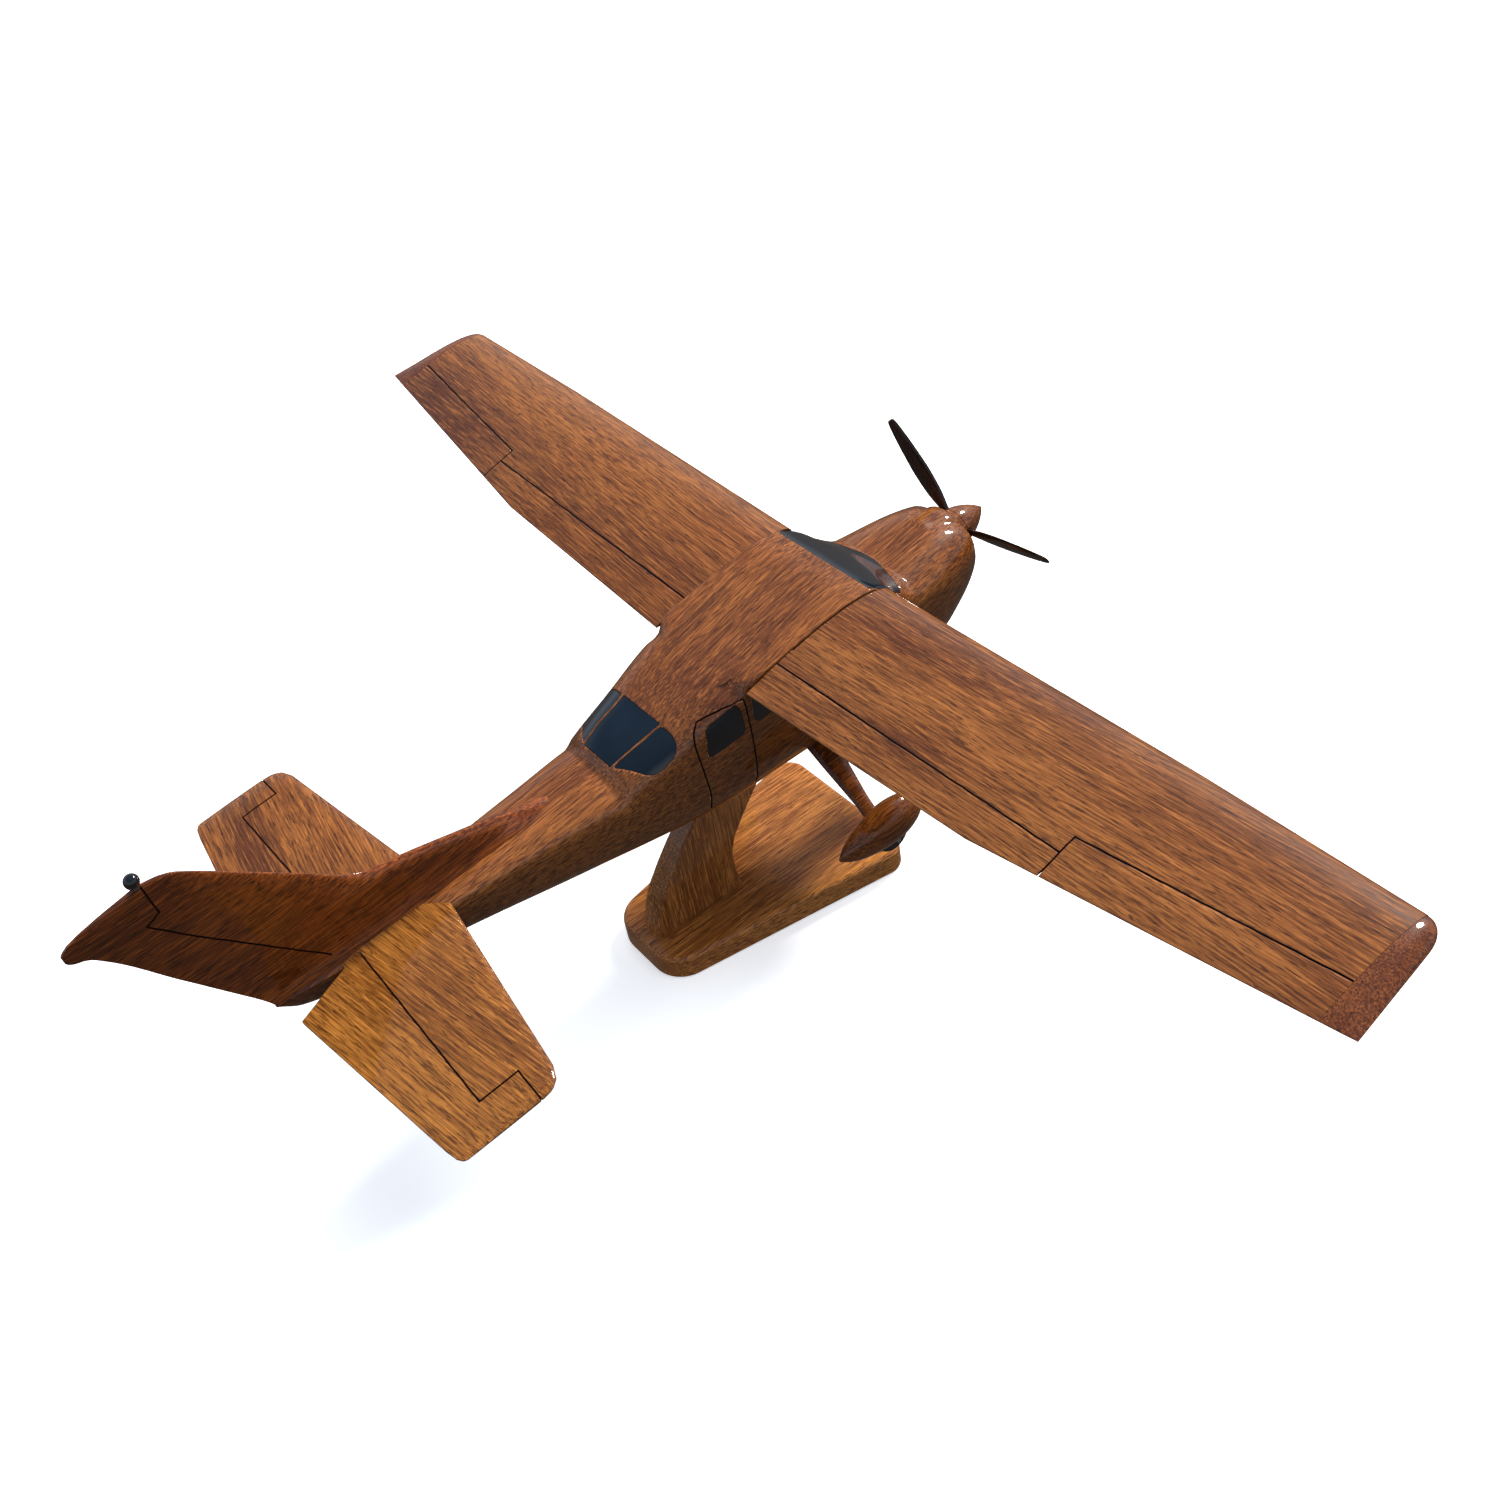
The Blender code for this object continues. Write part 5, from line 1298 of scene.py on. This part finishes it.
def build_base():
    front, rear = (BASE_FRONT_Y, BASE_FRONT_RADIUS), (BASE_REAR_Y, BASE_REAR_RADIUS)
    corners = (
        (-BASE_FRONT_HALF, *front), (BASE_FRONT_HALF, *front),
        (BASE_REAR_HALF, *rear), (-BASE_REAR_HALF, *rear),
    )
    outline = filled_in(rounded_outline(corners, 14), 3.0)
    rings = [[(p.x, p.y, height) for p in inset(outline, amount)] for amount, height in edge_layers()]
    board = loft("stand_board", rings, BASE, matrix=LEVEL)
    holes = []
    for y in SCREW_HOLES_Y:
        ends = (0, y, -1.0), (0, y, SCREW_HOLE_DEPTH)
        holes.append(bar(f"screw_hole_{y:.0f}", *ends, SCREW_HOLE_RADIUS, RECESS_SHADE, matrix=LEVEL))
    carve(board, holes)
    place(board, "stand", "stand_wood", "stand_base")


def pillar_ring(height):
    """Level slice of the pillar with rounded corners."""
    front, rear = (track([(h, y) for y, h in edge], height) for edge in (PILLAR_FRONT_EDGE, PILLAR_REAR_SIDE))
    r = PILLAR_EDGE_ROUND
    ring = []
    corners = ((1, rear, -1, 0.0), (-1, rear, -1, 0.5), (-1, front, 1, 1.0), (1, front, 1, 1.5))
    for side, y, inwards, start in corners:
        for k in range(PILLAR_CORNER_STEPS + 1):
            a = math.pi * (start + 0.5 * k / PILLAR_CORNER_STEPS)
            centre = (side * (PILLAR_HALF - r), y + inwards * r)
            ring.append((centre[0] + r * math.cos(a), centre[1] + r * math.sin(a), BASE_TOP + height))
    return ring


def build_pillar():
    heights = spread((PILLAR_FOOT, PILLAR_HEIGHT), 0.8)
    pillar = loft("stand_web", [pillar_ring(h) for h in heights], PILLAR, matrix=LEVEL)
    hole = bar("peg_hole", (0, PEG_Y, PEG_LOW), (0, PEG_Y, PEG_HIGH), PEG_BORE_RADIUS, RECESS_SHADE, matrix=LEVEL)
    carve(pillar, [hole])
    place(pillar, "stand", "stand_wood", "stand_pillar")


build_base()
build_pillar()


# --- kept CAD pieces
def finish_kept_nodes():
    """The small turned pieces inside are kept as they are, with smooth sides and their own materials."""
    for name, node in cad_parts.items():
        if node.hide_render:
            continue
        material = STEEL if name.startswith(("axle_pin", "stand_screw", "propeller_pin")) else DOWEL
        node.data.materials.clear()
        node.data.materials.append(material)
        weld = node.modifiers.new("weld", "WELD")
        weld.merge_threshold = 0.000002
        soften = node.modifiers.new("soften", "BEVEL")
        soften.width = 0.00012
        soften.segments = 2
        soften.limit_method = "ANGLE"
        soften.angle_limit = math.radians(50.0)
        even = node.modifiers.new("even_shading", "WEIGHTED_NORMAL")
        even.keep_sharp = True


finish_kept_nodes()


# --- stage
FLOOR_RADIUS = 4.0
FLOOR_Z = -0.0002
FLOOR_SIDES = 64
FLOOR_TONES = ((0.90, 0.90, 0.90), (0.93, 0.93, 0.93))
FLOOR_GLOW = 0.62
BACKDROP_HEIGHT = 6.0
KEY_FROM = Vector((0.14, -0.76, 0.64))
KEY_SIZE = 0.4
KEY_POWER = 64.0
KEY_COLOUR = (1.0, 0.95, 0.88)
FILL_FROM = Vector((0.05, -0.30, 0.95))
FILL_SIZE = 2.2
FILL_POWER = 60.0
FILL_COLOUR = (1.0, 0.98, 0.94)
LAMP_DISTANCE = 2.6
SKY = (
    # sine of the elevation, colour
    (-1.0, (0.10, 0.085, 0.075)), (-0.2, (0.13, 0.112, 0.10)), (0.0, (0.16, 0.15, 0.145)),
    (0.14, (0.28, 0.30, 0.33)), (0.30, (0.56, 0.62, 0.70)), (0.50, (0.33, 0.42, 0.54)),
    (0.66, (0.14, 0.22, 0.36)), (1.0, (0.17, 0.25, 0.37)),
)
SKY_STRENGTH = 1.0


def glow(name, tones, strength):
    """Pale studio surface that lifts its own shadows."""
    shader = Shader(name)
    tone = shader.noise(shader.coordinates, (1.3, 1.3, 1.3), 2.0)
    colour = shader.mix(shader.span(tone, 0.3, 0.7), *tones)
    shader.put(shader.principled, "Base Color", colour)
    shader.put(shader.principled, "Emission Color", colour)
    shader.set(Emission_Strength=strength, Roughness=0.9, Specular_IOR_Level=0.1)
    shader.material.cycles.emission_sampling = "NONE"
    return shader.material


def build_floor():
    material = glow("pale_floor", FLOOR_TONES, FLOOR_GLOW)
    n = FLOOR_SIDES
    ring = [(FLOOR_RADIUS * math.cos(a), FLOOR_RADIUS * math.sin(a), FLOOR_Z) for a in turns(n)]
    high = [(x, y, BACKDROP_HEIGHT) for x, y, _ in ring]
    shapes = {
        "floor": (ring, [tuple(range(n))]),
        "backdrop": (ring + high, [(k, (k + 1) % n, n + (k + 1) % n, n + k) for k in range(n)]),
    }
    for name, (points, faces) in shapes.items():
        mesh = bpy.data.meshes.new(name)
        mesh.from_pydata(points, [], faces)
        mesh.materials.append(material)
        obj = add_object(name, mesh)
        obj.visible_diffuse = False
        obj.visible_glossy = False
        obj.visible_shadow = False


def build_light():
    world = bpy.data.worlds.new("studio")
    bpy.context.scene.world = world
    world.use_nodes = True
    tree = world.node_tree
    direction = tree.nodes.new("ShaderNodeTexCoord")
    split = tree.nodes.new("ShaderNodeSeparateXYZ")
    share = tree.nodes.new("ShaderNodeMapRange")
    ramp = tree.nodes.new("ShaderNodeValToRGB")
    share.inputs["From Min"].default_value = -1.0
    tree.links.new(direction.outputs["Generated"], split.inputs[0])
    tree.links.new(split.outputs["Z"], share.inputs["Value"])
    tree.links.new(share.outputs["Result"], ramp.inputs["Fac"])
    tree.links.new(ramp.outputs["Color"], tree.nodes["Background"].inputs["Color"])
    stops = ramp.color_ramp.elements
    while len(stops) < len(SKY):
        stops.new(0.5)
    for stop, (height, colour) in zip(stops, SKY):
        stop.position = (height + 1.0) / 2.0
        stop.color = (*colour, 1.0)
    tree.nodes["Background"].inputs["Strength"].default_value = SKY_STRENGTH
    add_disc("key", KEY_FROM, KEY_SIZE, KEY_POWER, KEY_COLOUR, True)
    add_disc("fill", FILL_FROM, FILL_SIZE, FILL_POWER, FILL_COLOUR, False)


def add_disc(name, way, size, power, colour, mirrored):
    """Round lamp shining at the origin; one that isn't mirrored leaves no highlight of its own."""
    light = bpy.data.lights.new(name, "AREA")
    light.shape = "DISK"
    light.size = size
    light.energy = power
    light.color = colour
    lamp = add_object(name, light)
    lamp.location = way * LAMP_DISTANCE
    lamp.rotation_euler = way.to_track_quat("Z", "Y").to_euler()
    lamp.visible_glossy = mirrored


CAMERA_PLACE = (-0.30054, 0.17853, 0.38957)
CAMERA_AXES = (
    (-0.58409, 0.43983, -0.68219), (-0.79334, -0.48705, 0.36523), (-0.17162, 0.75454, 0.63342),
)
CAMERA_LENS = 41.27
CAMERA_SHIFT = (0.0731, -0.0759)


def build_camera():
    data = bpy.data.cameras.new("camera")
    camera = add_object("camera", data)
    camera.matrix_world = Matrix.Translation(CAMERA_PLACE) @ Matrix(CAMERA_AXES).to_4x4()
    data.sensor_width = 36.0
    data.lens = CAMERA_LENS
    data.shift_x, data.shift_y = CAMERA_SHIFT
    data.clip_start = 0.01
    bpy.context.scene.camera = camera


build_floor()
build_light()
build_camera()
bpy.context.scene.view_settings.view_transform = "Standard"
